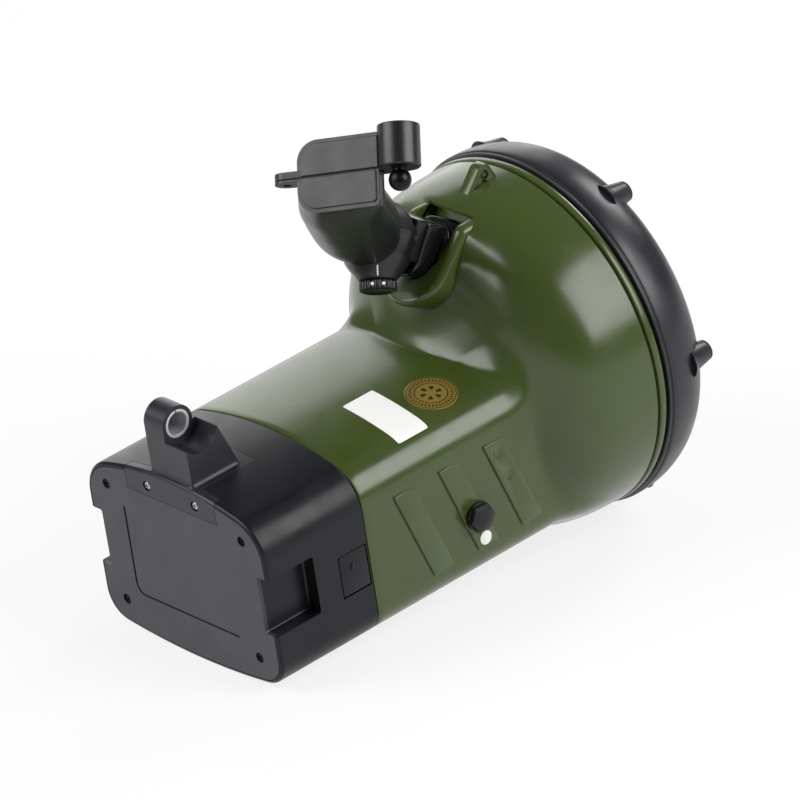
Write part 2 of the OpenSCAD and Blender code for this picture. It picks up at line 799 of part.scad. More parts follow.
module pack_shell() {
    spigot_inset = wall + slide_gap;
    inside = spigot_inset + pack_wall;
    color(black) at_rest() difference() {
        union() {
            difference() {
                union() {
                    round_rear(rear_edge_r);
                    along_y(rear_edge_r, pack_len) box_section();
                    along_y(pack_len - 1, spigot_front) box_section(spigot_inset);
                }
                along_y(-1, pack_len - pack_wall) box_section(pack_wall);
                along_y(pack_len - pack_wall - 1, spigot_front - pack_wall) box_section(inside);
                along_y(-1, cover_t) box_section(cover_lip);
            }
            intersection() {
                union() {
                    block([-40, 6 + seat_gap, shelf_bottom], [40, pack_len, shelf_top]);
                    for (p = cover_screw_places) rod_y(4.5, cover_t, pack_len - pack_wall + 1, p[0], p[1]);
                    for (p = cover_screw_places) let (reach = sign(p[0]) * box_half_w)
                        block([min(p[0], reach), cover_t, p[1] - 1.5], [max(p[0], reach), pack_len, p[1] + 1.5]);
                }
                along_y(cover_t, pack_len) box_section(0.5);
            }
            intersection() {
                both_sides() recess_block(pack_wall);
                along_y(0, pack_len) box_section(cover_lip - 0.5);
            }
        }
        both_sides() {
            recess_block(0);
            block([box_half_w - 6, tab_front - tab_len - slide_gap, tab_bottom - tab_t / 2 - seat_gap],
                [box_half_w + 1, tab_front + slide_gap, tab_top + slide_gap]);
            rod_y(screw_r, 6, 20, lug_screw_x, lug_screw_z);
        }
        lug_cut(seat_gap);
        for (p = cover_screw_places) rod_y(screw_r, cover_t - 1, 16, p[0], p[1]);
    }
}

module rear_cover() {
    color([0.13, 0.13, 0.15]) at_rest() difference() {
        along_y(0, cover_t) box_section(cover_lip + seat_gap);
        both_sides() recess_block(pack_wall + seat_gap);
        block([-lug_flange_half_w - seat_gap, -1, lug_screw_z - 6.4 - seat_gap],
            [lug_flange_half_w + seat_gap, cover_t + 1, box_top]);
        for (p = cover_screw_places) {
            rod_y(screw_head_r + seat_gap, -1, cover_t - 1.4, p[0], p[1]);
            rod_y(screw_r + seat_gap, -1, cover_t + 1, p[0], p[1]);
        }
    }
}

module screw_y(seat, depth, x, z) {
    difference() {
        union() {
            rod_y(screw_head_r, seat - screw_head_h, seat, x, z);
            rod_y(screw_r, seat - 0.5, depth, x, z);
        }
        for (turn = [0, 90])
            translate([x, seat - screw_head_h, z]) rotate([0, turn, 0]) cube([3, 1.6, 0.7], center = true);
    }
}

module cover_screws() {
    color([0.2, 0.2, 0.21]) at_rest() for (p = cover_screw_places) screw_y(cover_t - 1.4, 15, p[0], p[1]);
}

module handle_lug() {
    trough_r = barrel_d / 2 + 1.5;
    lip_z = catch_z - 5.5;
    rear = 3;
    color(black) at_rest() difference() {
        union() {
            intersection() {
                along_y(0, lug_plate_len) box_section();
                lug_cut(0);
            }
            along_x(-lug_head_w, 0) {
                translate([catch_y, catch_z]) circle(lug_head_r);
                polygon([[catch_y - lug_head_r, catch_z], [rear, box_top - 4], [38, box_top - 4], [38, box_top],
                    [catch_y + lug_head_r, lip_z], [catch_y + lug_head_r, catch_z]]);
            }
            along_x(-1, trough_w) polygon([[rear - 0.6, lip_z], [rear, box_top - 4], [38, box_top - 4],
                [38, box_top],
                [catch_y + trough_r + 0.6, lip_z]]);
        }
        rod_x(trough_r, 0, trough_w + 1, catch_y, catch_z);
        rod_x(bushing_d / 2, -bushing_len, 1, catch_y, catch_z);
        for (side = [-1, 1]) {
            rod_y(screw_head_r + seat_gap, -1, screw_head_h + 0.4, side * lug_screw_x, lug_screw_z);
            rod_y(screw_r + seat_gap, -1, 8, side * lug_screw_x, lug_screw_z);
        }
    }
}

module lug_screws() {
    color(steel) at_rest() for (side = [-1, 1]) screw_y(screw_head_h + 0.4, 18, side * lug_screw_x, lug_screw_z);
}

module lug_bushing() {
    color(steel) at_rest() difference() {
        rod_x(bushing_d / 2, -bushing_len, 0, catch_y, catch_z);
        rod_x(bushing_bore / 2, -bushing_len - 1, 1, catch_y, catch_z);
        block([-bushing_len - 1, catch_y - 0.6, catch_z], [1, catch_y + 0.6, catch_z + bushing_d]);
    }
}

// A tab that bends about its round root
module latch_tab() {
    middle = tab_front - tab_len / 2;
    root_r = tab_t / 2;
    block([box_half_w - tab_t, tab_front - tab_len, tab_bottom], [box_half_w, tab_front, tab_top]);
    rod_y(root_r, tab_front - tab_len, tab_front, box_half_w - root_r, tab_bottom);
    rod_x(2.6, box_half_w - 1, box_half_w + 0.8, middle, tab_top - 9);
}

module latch_tab_right() {
    color([0.08, 0.08, 0.1]) at_rest() latch_tab();
}

module latch_tab_left() {
    color([0.08, 0.08, 0.1]) at_rest() mirror([1, 0, 0]) latch_tab();
}

module cell_places() {
    for (column = [0:cell_columns - 1], row = [0:cell_rows - 1])
        translate([(column - (cell_columns - 1) / 2) * cell_pitch, 0,
            cell_centre_z + (row - (cell_rows - 1) / 2) * cell_pitch]) children();
}

module battery_cells() {
    color([0.16, 0.35, 0.45]) at_rest() cell_places() rod_y(cell_d / 2, cell_start, cell_start + cell_len, 0, 0);
}

module cell_trays() {
    half_w = cell_columns * cell_pitch / 2 + 2;
    color([0.85, 0.85, 0.83]) at_rest() difference() {
        for (y = [cell_start + 3, cell_start + cell_len - 3 - tray_t]) intersection() {
            along_y(y, y + tray_t) box_section(wall + slide_gap + pack_wall + seat_gap);
            block([-half_w, 0, -200], [half_w, 200, shelf_bottom - seat_gap]);
        }
        cell_places() rod_y(cell_d / 2 + 0.15, 0, 100, 0, 0);
    }
}

module bus_strips() {
    strip_t = 0.5;
    half = (cell_columns - 1) * cell_pitch / 2 + 5;
    color([0.78, 0.78, 0.76]) at_rest()
        for (row = [0:cell_rows - 1], y = [cell_start - strip_t, cell_start + cell_len])
            let (z = cell_centre_z + (row - (cell_rows - 1) / 2) * cell_pitch)
            block([-half, y, z - 4], [half, y + strip_t, z + 4]);
}

module pack_terminals() {
    color(brass) at_rest() for (side = [-1, 1])
        block([side * contact_x - 7, spigot_front, contact_z - 11],
            [side * contact_x + 7, spigot_front + terminal_t, contact_z + 11]);
}

// Handle, drawn in its catch

lean = 11.3;
lean_up = [sin(lean), cos(lean)];
lean_out = [-cos(lean), sin(lean)];
catch = [catch_y, catch_z];
end_out = 7.2;
end_bottom = catch + 9.6 * lean_up + end_out * lean_out;
end_top = catch + 59 * lean_up + end_out * lean_out;

// Stations of the grip from its end to the hub: lower point, upper point, edge inset,
// lower and upper edge radius
grip_stations = [
    [end_bottom, end_top, 2.6, 4, grip_edge_r],
    [end_bottom - 1 * lean_out, end_top - 1 * lean_out, 0.9, 4, grip_edge_r],
    [end_bottom - 3.2 * lean_out, end_top - 3.2 * lean_out, 0, 4, grip_edge_r],
    [[48.5, 81.5], [56, 130.5], 0, 10, grip_edge_r + 2], [[80.7, 87.3], [85, 135.5], 0, 16, grip_edge_r + 5],
    [[111.7, 90.6], [113, 139], 0, 18, grip_edge_r + 6], [[142.6, 92.4], [140, 141], 0, 18.5, grip_edge_r + 6],
    [[163.3, 95.2], [160, 139.5], 0.6, 18.5, grip_edge_r + 6],
    [[175.9, 99.6], [175, 133], 3, 15, grip_edge_r + 2]];

// Half of a rounded grip section on one side of the parting plane
function grip_half(station, side) =
    let (low = station[0], high = station[1], inset = station[2], up = (high - low) / norm(high - low),
        half_w = grip_half_w - inset, low_r = station[3] - min(inset, 1), high_r = station[4] - inset,
        h = norm(high - low) - inset,
        outline = concat([[0, inset]],
            [for (turn = [0:15:90]) [half_w - low_r + low_r * sin(turn), inset + low_r - low_r * cos(turn)]],
            [for (turn = [0:15:90]) [half_w - high_r + high_r * cos(turn), h - high_r + high_r * sin(turn)]],
            [[0, h]]),
        turned = side > 0 ? [for (i = [len(outline) - 1:-1:0]) outline[i]] : outline)
    [for (p = turned) [side * p[0], low[0] + up[0] * p[1], low[1] + up[1] * p[1]]];

module grip(side) {
    loft([for (station = grip_stations) grip_half(station, side)]);
}

// Half of the hub, turned about the swivel axis
module knuckle(side) {
    end_r = 9;
    on_swivel() rotate([0, 0, side > 0 ? -90 : 90]) rotate_extrude(angle = 180) polygon(concat(
        [[0, knuckle_face], [bush_r + 1.4, knuckle_face], [knuckle_r, knuckle_face + 8]],
        [for (turn = [0:15:90])
            [knuckle_r - end_r + end_r * cos(turn), knuckle_end - end_r + end_r * sin(turn)]],
        [[0, knuckle_end]]));
}

module hub_hollow() {
    on_swivel() {
        cylinder_from(bush_r, knuckle_face - 1, bush_end + 0.1);
        cylinder_from(bush_r, bush_end, nut_end + 0.6);
    }
}

module strap_tab(side) {
    tab_z = catch + 68 * lean_up + (end_out - 7.2) * lean_out;
    along_x(side > 0 ? 0 : -1.8, side > 0 ? 4.4 : 0) difference() {
        union() {
            translate(tab_z) circle(7);
            polygon([tab_z + 7 * lean_out, tab_z - 7 * lean_out, tab_z - 16 * lean_up - 10 * lean_out,
                tab_z - 16 * lean_up + 6 * lean_out]);
        }
        translate(tab_z) circle(d = strap_hole_d);
    }
}

module barrel_web() {
    web = [[2, 6.8], [16, 6.8], [16, -11], [7, -11], [2, -9]];
    along_x(slide_gap, grip_half_w - 2) polygon([for (p = web) catch + p[0] * lean_up + p[1] * lean_out]);
}

stud_depth = 14;
stud_r = 3;

module handle_right() {
    color(black) at_rest() swung() difference() {
        union() {
            grip(1);
            knuckle(1);
            strap_tab(1);
            barrel_web();
            rod_x(barrel_d / 2, slide_gap, slide_gap + barrel_len, catch_y, catch_z);
        }
        hub_hollow();
        rod_x(stud_r, -1, stud_depth, catch_y, catch_z);
        rod_x(lug_head_r + 2 * slide_gap, -1, slide_gap, catch_y, catch_z);
        for (p = handle_screw_places) {
            rod_x(screw_head_r + seat_gap, grip_half_w - 5, grip_half_w + 1, p[0], p[1]);
            rod_x(screw_r + seat_gap, -1, grip_half_w, p[0], p[1]);
        }
    }
}

module handle_left() {
    color(black) at_rest() swung() difference() {
        union() {
            grip(-1);
            knuckle(-1);
            strap_tab(-1);
            rod_x(11, dial_seat_x, -8, dial_y, dial_z);
        }
        hub_hollow();
        rod_x(lug_head_r + 2 * slide_gap, -grip_half_w - 1, 1, catch_y, catch_z);
        rod_x(7.3, dial_seat_x + 3, -13.5, dial_y, dial_z);
        rod_x(dial_shaft_r + seat_gap, dial_seat_x - 1, -14, dial_y, dial_z);
        for (p = handle_screw_places) rod_x(screw_r, -10, 1, p[0], p[1]);
    }
}

module ball_stud() {
    color([0.1, 0.1, 0.11]) at_rest() swung() union() {
        translate([-6.5, catch_y, catch_z]) sphere(ball_d / 2);
        rod_x(4, -3, slide_gap, catch_y, catch_z);
        rod_x(stud_r, 0, stud_depth, catch_y, catch_z);
    }
}

module swivel_bush() {
    color(brass) at_rest() swung() on_swivel() difference() {
        cylinder_from(bush_r, knuckle_face, bush_end);
        cylinder_from(post_r + turn_gap, knuckle_face - 1, bush_end + 1);
    }
}

module handle_screws() {
    color(steel) at_rest() swung() for (p = handle_screw_places) {
        rod_x(screw_head_r, grip_half_w - 5, grip_half_w - 5 + screw_head_h, p[0], p[1]);
        rod_x(screw_r, -9.5, grip_half_w - 4.5, p[0], p[1]);
    }
}

module switch_module() {
    color([0.25, 0.25, 0.27]) at_rest() swung() difference() {
        rod_x(7, dial_seat_x + 3.3, -13.5, dial_y, dial_z);
        rod_x(dial_shaft_r + turn_gap, dial_seat_x, -17, dial_y, dial_z);
    }
}

module control_dial() {
    top_x = dial_seat_x - slide_gap - dial_h;
    color([0.07, 0.07, 0.08]) at_rest() swung() difference() {
        union() {
            rod_x(dial_d / 2, top_x, dial_seat_x - slide_gap, dial_y, dial_z);
            rod_x(dial_shaft_r, top_x + 1, -18, dial_y, dial_z);
        }
        for (i = [0:dial_ribs - 1]) translate([0, dial_y, dial_z]) rotate([360 * i / dial_ribs, 0, 0])
            rod_x(0.9, top_x - 1, dial_seat_x - 2.2, 0, dial_d / 2 + 0.2);
    }
}

main_housing();
front_ring();
ring_feet();
lens_glass();
lens_gasket();
reflector();
lamp_bulb();
bulb_base();
lamp_holder();
driver_module();
bay_plate();
bay_contacts();
charge_socket();
charge_cap();
indicator_lens();
swivel_base();
swivel_post();
swivel_nut();
cable_boot();
pack_shell();
rear_cover();
cover_screws();
handle_lug();
lug_screws();
lug_bushing();
latch_tab_right();
latch_tab_left();
battery_cells();
cell_trays();
bus_strips();
pack_terminals();
handle_right();
handle_left();
ball_stud();
swivel_bush();
handle_screws();
control_dial();
switch_module();
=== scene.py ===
import json
import math

import bmesh
import bpy
import numpy as np
from mathutils import Matrix, Vector


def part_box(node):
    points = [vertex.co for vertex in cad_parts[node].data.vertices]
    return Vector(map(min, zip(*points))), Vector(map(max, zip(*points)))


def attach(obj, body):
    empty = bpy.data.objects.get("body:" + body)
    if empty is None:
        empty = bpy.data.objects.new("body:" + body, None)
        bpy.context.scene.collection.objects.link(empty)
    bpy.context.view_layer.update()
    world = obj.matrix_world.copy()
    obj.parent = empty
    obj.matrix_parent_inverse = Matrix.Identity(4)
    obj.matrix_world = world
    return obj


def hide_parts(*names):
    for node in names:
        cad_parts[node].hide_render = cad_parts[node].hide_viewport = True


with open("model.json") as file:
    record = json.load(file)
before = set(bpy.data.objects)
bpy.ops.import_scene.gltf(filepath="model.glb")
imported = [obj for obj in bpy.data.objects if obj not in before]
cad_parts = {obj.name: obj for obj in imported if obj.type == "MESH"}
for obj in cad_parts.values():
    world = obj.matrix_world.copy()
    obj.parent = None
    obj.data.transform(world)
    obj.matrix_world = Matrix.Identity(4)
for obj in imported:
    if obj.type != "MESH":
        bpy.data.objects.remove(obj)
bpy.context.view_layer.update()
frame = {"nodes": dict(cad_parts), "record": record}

# Main housing: one injection moulding in glossy olive plastic. Its box tail takes the
# battery and flares into the round bell, which ends in a groove and a bead at the rim.
# Everything is drawn in lamp millimetres: Y runs along the beam from the rear face.
MM = 0.001
mounts = {mount["name"]: mount for mount in frame["record"]["mounts"]}
joints = {joint["name"]: joint for joint in frame["record"]["behaviour"]["joints"]}
rear_mount_drop = 30
beam = -Vector(mounts["rear_face"]["axis"])
lamp = (Matrix.Translation(mounts["rear_face"]["pos_m"])
        @ Matrix.Rotation(math.atan2(beam.z, beam.y), 4, "X")
        @ Matrix.Translation((0, 0, rear_mount_drop * MM)) @ Matrix.Scale(MM, 4))

half_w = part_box("pack_shell")[1][0] / MM
ring_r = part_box("front_ring")[1][0] / MM
bell_r = ring_r - 2.8
bell_back, bell_rim = 202.7, 282.6
bell_power = 3.6
top_rise, bottom_drop = 33.0, 84.2
top_arch, bottom_arch = 240.0, 500.0
top_edge, bottom_edge = 25.0, 18.0
pack_len = 74.0
housing_rear = pack_len + 0.4
flare_end = bell_back + 4
flare_len, flare_h, fold = 22.0, 34.0, 0.14
wall = 3.0
skin_end = bell_rim - 8.5


def smoothed(piece, crisp=35):
    """Smooth shading, with edges sharper than the given bend kept crisp."""
    piece.data.shade_smooth()
    piece.data.set_sharp_from_angle(angle=math.radians(crisp))
    return piece


def shaped(name, points, faces, place=lamp):
    """A mesh piece from points in millimetres, welded and turned outside out."""
    matrix = np.array(place)
    points = np.asarray(points, float) @ matrix[:3, :3].T + matrix[:3, 3]
    mesh = bpy.data.meshes.new(name)
    mesh.from_pydata(points.tolist(), [], faces)
    work = bmesh.new()
    work.from_mesh(mesh)
    bmesh.ops.remove_doubles(work, verts=work.verts, dist=1e-6)
    bmesh.ops.recalc_face_normals(work, faces=work.faces)
    work.to_mesh(mesh)
    work.free()
    piece = bpy.data.objects.new(name, mesh)
    bpy.context.scene.collection.objects.link(piece)
    return smoothed(piece)


def ringed(name, rows, place=lamp, looped=False):
    """A skin over rings of as many points, with flat ends unless the last ring meets the first."""
    rows = np.asarray(rows, float)
    count, size = rows.shape[:2]
    step = np.arange(size)
    after = (step + 1) % size
    faces = []
    for k in range(count if looped else count - 1):
        low, high = k * size, (k + 1) % count * size
        faces += np.stack([low + step, low + after, high + after, high + step], 1).tolist()
    if not looped:
        faces += [step[::-1].tolist(), ((count - 1) * size + step).tolist()]
    return shaped(name, rows.reshape(-1, 3), faces, place)


def from_axis(dx, dz, cx, cz, r):
    """Distance from the bell axis to a circle along a direction."""
    along = dx * cx + dz * cz
    return along + np.sqrt(np.maximum(along ** 2 - cx ** 2 - cz ** 2 + r ** 2, 0))


def box_reach(angle, inset=0.0):
    """Distance from the bell axis to the box's outline; angle 0 is up."""
    dx, dz = np.abs(np.sin(angle)), np.cos(angle)
    top_c, bottom_c = top_rise - top_arch, bottom_arch - bottom_drop
    top_x, bottom_x = half_w - top_edge, half_w - bottom_edge
    top_z = top_c + math.sqrt((top_arch - top_edge) ** 2 - top_x ** 2)
    bottom_z = bottom_c - math.sqrt((bottom_arch - bottom_edge) ** 2 - bottom_x ** 2)
    reach = np.where(dz > 0, from_axis(dx, dz, 0, top_c, top_arch - inset),
                     from_axis(dx, dz, 0, bottom_c, bottom_arch - inset))
    reach = np.minimum(reach, (half_w - inset) / np.maximum(dx, 1e-3))
    upper = (dz * reach > top_z) & (dx * reach > top_x * (top_arch - inset) / (top_arch - top_edge))
    lower = (dz * reach < bottom_z) & (
        dx * reach > bottom_x * (bottom_arch - inset) / (bottom_arch - bottom_edge))
    reach = np.where(upper, from_axis(dx, dz, top_x, top_z, top_edge - inset), reach)
    return np.where(lower, from_axis(dx, dz, bottom_x, bottom_z, bottom_edge - inset), reach)


def bell_radius(y):
    depth = np.clip((bell_rim - y) / (bell_rim - bell_back), 0, 1)
    return bell_r * (1 - depth ** bell_power) ** (1 / bell_power)


def housing_reach(y, angle):
    """The housing's outside: box, flare and bell, eased where they meet."""
    blend = 12.0
    box = box_reach(angle)
    rise = np.clip(bell_radius(flare_end + 4) - box, 0, flare_h)
    meet = bell_rim - (bell_rim - bell_back) * (1 - np.minimum((box + rise) / bell_r, 1) ** bell_power) ** (1 / bell_power)
    share = np.clip((y - meet + flare_len) / flare_len, 0, 1)
    sunk = max(0, y - flare_end - 18) / (skin_end - flare_end - 18)
    flare = box + rise * (np.hypot(share, fold) - fold) / (math.hypot(1, fold) - fold) - blend * sunk ** 2
    bell = bell_radius(y)
    near = np.clip(blend - np.abs(flare - bell), 0, None) / blend
    return np.maximum(flare, bell) + near ** 2 * blend / 4


around = np.radians(np.arange(0, 360, 1.0))


def ring_at(y, reach):
    """A ring of points about the bell axis."""
    reach = np.broadcast_to(reach, around.shape)
    return np.stack([reach * np.sin(around), np.full(around.shape, float(y)), reach * np.cos(around)], 1)


swivel_at = lamp.inverted() @ Vector(joints["handle_swivel"]["pos_m"])
swivel_axis = (lamp.to_3x3().inverted() @ Vector(joints["handle_swivel"]["axis"])).normalized()
swivel_up = swivel_axis.cross(Vector((1, 0, 0)))
swivel = lamp @ Matrix.Translation(swivel_at) @ Matrix(
    (Vector((1, 0, 0)), swivel_up, swivel_axis)).transposed().to_4x4()
boss_half_w, boss_drop, boss_face = 23.8, 15.0, -14.6
boss_top = swivel_at.z - 2.6
rim_y, rim_z, rim_lean = swivel_at.y + 6.1, swivel_at.z - 28.4, math.radians(45.5)
skirt_w, skirt_h = 17.0, 3.6


def skirt(y, reach):
    """How far the skin swells round the foot of the swivel boss."""
    x, z = reach * np.sin(around), reach * np.cos(around)
    off_y, off_z = y - swivel_at.y, z - swivel_at.z
    along = off_y * swivel_axis.y + off_z * swivel_axis.z
    above = off_y * swivel_up.y + off_z * swivel_up.z
    beside = np.where(above > -boss_drop, np.abs(x), np.hypot(x, above + boss_drop)) - boss_half_w
    under_rim = (y - rim_y) * math.sin(rim_lean) - (z - rim_z) * math.cos(rim_lean)
    sunk = np.minimum(np.minimum(under_rim, boss_top - z), boss_face - along)
    return np.minimum(skirt_h, 0.35 * np.clip(sunk, 0, None)) * np.clip(1 - beside / skirt_w, 0, 1) ** 2 * (sunk < 60)


tail_rows = np.arange(housing_rear + 5, flare_end - flare_len - 12, 5.0)
flare_rows = np.arange(flare_end - flare_len - 12, flare_end + 8, 0.9)
bell_rows = bell_rim - (bell_rim - bell_back) * np.cos(np.linspace(0.1, 1.53, 60)) ** (2 / bell_power)
skin_rows = np.unique(np.concatenate([tail_rows, flare_rows, bell_rows]).round(2))
skin_rows = skin_rows[(np.diff(skin_rows, prepend=0) > 0.25) & (skin_rows < skin_end - 0.5)]


def skin_ring(y, inset=0.0):
    """A ring of the skin, with a wide fillet where the box's corners run into the bell."""
    reach = housing_reach(y, around)
    near_fold = np.clip(2 - abs(y - flare_end - 2) / 15, 0, 1)
    spread = np.mean([housing_reach(y + step, around) for step in (-3, -2, -1, 1, 2, 3)], axis=0)
    reach = reach + near_fold * (spread - reach)
    return ring_at(y, reach + skirt(y, reach) - inset)


rim_outline = [(bell_r, skin_end), (bell_r - 0.5, skin_end + 0.3), (bell_r - 1.9, skin_end + 0.5),
               (bell_r - 2.1, skin_end + 1.1), (bell_r - 1.9, skin_end + 1.7), (bell_r - 0.3, skin_end + 1.9),
               (bell_r + 0.5, skin_end + 2.3), (bell_r + 0.8, skin_end + 2.9), (bell_r + 0.8, bell_rim - 2.6),
               (bell_r + 0.5, bell_rim - 2.1), (bell_r - 0.2, bell_rim - 1.8), (bell_r - 2.2, bell_rim - 1.6),
               (bell_r - 2.4, bell_rim), (bell_r - wall, bell_rim)]
housing_rings = [ring_at(y, box_reach(around, inset))
                 for y, inset in ((housing_rear, 1.0), (housing_rear + 0.25, 0.35), (housing_rear + 0.9, 0.0))]
housing_rings += [skin_ring(y) for y in skin_rows]
housing_rings += [ring_at(y, r) for r, y in rim_outline]
housing_rings += [skin_ring(y, wall) for y in skin_rows[::-3]]
housing_rings += [ring_at(housing_rear + 0.5, box_reach(around, wall)), ring_at(housing_rear, box_reach(around, wall - 0.4))]
housing = ringed("housing_shell", housing_rings, looped=True)


class Wire:
    """A shader socket; arithmetic on it adds Math nodes to its material."""

    def __init__(self, tree, socket=None):
        self.tree, self.socket = tree, socket

    def node(self, kind, settings=None, sockets=None, output=0):
        made = self.tree.nodes.new(kind)
        for name, value in (settings or {}).items():
            if name == "stops":
                marks = made.color_ramp.elements
                for number, (at, colour) in enumerate(value):
                    mark = marks[number] if number < len(marks) else marks.new(at)
                    mark.position, mark.color = at, (*colour, 1)
            else:
                setattr(made, name, value)
        for name, value in (sockets or {}).items():
            if isinstance(value, Wire):
                self.tree.links.new(value.socket, made.inputs[name])
            else:
                made.inputs[name].default_value = value
        return Wire(self.tree, made.outputs[output] if len(made.outputs) else None)

    def maths(self, operation, first, second=0.0):
        return self.node("ShaderNodeMath", {"operation": operation}, {0: first, 1: second})

    def __add__(self, other):
        return self.maths("ADD", self, other)

    def __radd__(self, other):
        return self.maths("ADD", other, self)

    def __sub__(self, other):
        return self.maths("SUBTRACT", self, other)

    def __rsub__(self, other):
        return self.maths("SUBTRACT", other, self)

    def __mul__(self, other):
        return self.maths("MULTIPLY", self, other)

    def __rmul__(self, other):
        return self.maths("MULTIPLY", other, self)

    def clear_of(self, low, high):
        """0 below the low value, 1 above the high one."""
        return self.node("ShaderNodeMapRange", {"clamp": True},
                         {"Value": self, "From Min": low, "From Max": high})

    def mixed(self, below, above):
        """A colour between two, by this value."""
        return self.node("ShaderNodeMix", {"data_type": "RGBA"}, {0: self, 6: below, 7: above}, 2)


def tint(red, green, blue):
    """A shader colour from 8-bit screen values."""
    return tuple(((c / 255 + 0.055) / 1.055) ** 2.4 if c > 10 else c / 3295 for c in (red, green, blue)) + (1.0,)


def new_finish(name):
    material = bpy.data.materials.new(name)
    material.use_nodes = True
    material.node_tree.nodes.clear()
    return material, Wire(material.node_tree)


def moulded(name, shade, light, gloss, grain, height, **sockets):
    """Moulded plastic: a slow drift of tone, rubbed patches, dust specks and the mould's grain."""
    material, wire = new_finish(name)
    place = wire.node("ShaderNodeTexCoord", output="Object")
    drift = wire.node("ShaderNodeTexNoise", {}, {"Vector": place, "Scale": 16, "Detail": 4})
    rubbed = wire.node("ShaderNodeTexNoise", {}, {"Vector": place, "Scale": 55, "Detail": 5, "Roughness": 0.6})
    fine = wire.node("ShaderNodeTexNoise", {}, {"Vector": place, "Scale": grain, "Detail": 2})
    specks = wire.node("ShaderNodeTexNoise", {}, {"Vector": place, "Scale": 900, "Detail": 1}).clear_of(0.74, 0.8)
    edge = wire.node("ShaderNodeNewGeometry", output="Pointiness").clear_of(0.52, 0.6)
    tone = drift.clear_of(0.3, 0.7) * 0.6 + edge * 0.4 + specks * 0.25
    rough = gloss[0] + rubbed.clear_of(0.35, 0.7) * (gloss[1] - gloss[0]) + specks * 0.2
    bump = wire.node("ShaderNodeBump", {}, {"Height": fine, "Distance": height * MM, "Strength": 1.0})
    body = wire.node("ShaderNodeBsdfPrincipled", {}, {
        "Base Color": tone.mixed(shade, light), "Roughness": rough, "Normal": bump, **sockets})
    wire.node("ShaderNodeOutputMaterial", {}, {"Surface": body})
    return material


def painted(piece, material):
    """One finish all over a piece or a carried-over node."""
    if piece.material_slots:
        for slot in piece.material_slots:
            slot.material = material
    else:
        piece.data.materials.append(material)
    return piece


olive = moulded("olive_gloss", tint(57, 70, 26), tint(65, 80, 33), (0.2, 0.28), 420, 0.012,
                **{"Coat Weight": 0.12, "Coat Roughness": 0.12})

# Swivel boss and pocket: part of the same moulding. The boss is a slanted cup with a thick
# rounded rim on the bell's shoulder, and the pocket in it runs down along the swivel axis.
pocket_r, pocket_floor, pocket_top = 17.4, -44.0, 20.5
base_half_w, base_drop, base_back = 12.4, 10.0, -26.0


def slab(name, outline, low, high, axis, place=lamp):
    """A flat outline drawn out along an axis between two places."""
    order = {"x": (2, 0, 1), "y": (0, 2, 1), "z": (0, 1, 2)}[axis]
    rows = []
    for at in (low, high):
        flat = np.column_stack([np.asarray(outline, float), np.full(len(outline), float(at))])
        rows.append(flat[:, order])
    return ringed(name, rows, place)


def u_outline(r, drop, top, steps=40):
    """A U: round below, with straight sides up to a height."""
    turns = np.radians(np.linspace(180, 360, steps + 1))
    bow = np.column_stack([r * np.cos(turns), -drop + r * np.sin(turns)])
    return np.vstack([bow, [[r, top], [-r, top]]])


def brick(name, low, high, place=lamp):
    """A block between two corners."""
    outline = [(low[0], low[2]), (high[0], low[2]), (high[0], high[2]), (low[0], high[2])]
    return slab(name, outline, low[1], high[1], "y", place)


def settle(piece, crisp=35):
    """Makes the piece's modifiers part of its mesh."""
    ready = bpy.data.meshes.new_from_object(piece.evaluated_get(bpy.context.evaluated_depsgraph_get()))
    piece.modifiers.clear()
    worn, piece.data = piece.data, ready
    bpy.data.meshes.remove(worn)
    return smoothed(piece, crisp)


def worked(piece, operation, *tools):
    """The piece cut by, joined with or kept inside of other meshes, which are used up."""
    for tool in tools:
        change = piece.modifiers.new("work", "BOOLEAN")
        change.operation, change.solver, change.object = operation, "MANIFOLD", tool
        settle(piece)
        spent = tool.data
        bpy.data.objects.remove(tool)
        bpy.data.meshes.remove(spent)
    return piece


def eased(piece, width, steps=3, bend=40):
    """The piece with its sharp edges rounded over."""
    change = piece.modifiers.new("ease", "BEVEL")
    change.width, change.segments = width * MM, steps
    change.limit_method, change.angle_limit = "ANGLE", math.radians(bend)
    change.harden_normals = False
    return settle(piece)


def levelled(piece):
    """Flat faces shaded flat, so that the light turns only on their rounded edges."""
    change = piece.modifiers.new("level", "WEIGHTED_NORMAL")
    change.keep_sharp = True
    return piece


def pocket_tools(grow):
    """The room taken out for the swivel's base and boot."""
    return (slab("pocket_seat", u_outline(base_half_w + 0.3 + grow, base_drop, pocket_top + grow), base_back - 1, base_back + 60, "z", swivel),
            slab("pocket_bore", u_outline(pocket_r + grow, 0, pocket_top + grow), pocket_floor, base_back + 6, "z", swivel))


worked(housing, "DIFFERENCE", *pocket_tools(1.2))
boss = slab("swivel_boss", u_outline(boss_half_w, boss_drop, 70), -60, boss_face, "z", swivel)
slope = lamp @ Matrix.Translation((0, rim_y, rim_z)) @ Matrix.Rotation(rim_lean, 4, "X")
worked(boss, "INTERSECT", brick("rim_slope", (-50, -100, -100), (50, 100, 0), slope),
       brick("boss_reach", (-50, swivel_at.y - 40, 0), (50, skin_end, boss_top)))
eased(boss, 4.0, 6)
worked(boss, "DIFFERENCE", *pocket_tools(0.0))
eased(boss, 0.6, 2)
bell_steps = bell_back + 1 + np.array([0.0, 0.6, 2, 5, 10, 17, 26, 36, 48])
liner = slab("pocket_liner", u_outline(pocket_r + wall, 0, pocket_top + wall), pocket_floor - wall, pocket_floor + 34, "z", swivel)
worked(liner, "INTERSECT", ringed("bell_inside", [ring_at(y, bell_radius(y) - 0.8) for y in bell_steps]))
worked(liner, "DIFFERENCE", *pocket_tools(0.0))
worked(boss, "DIFFERENCE", ringed("bell_room", [ring_at(y, bell_radius(y) - wall) for y in bell_steps + 2]))

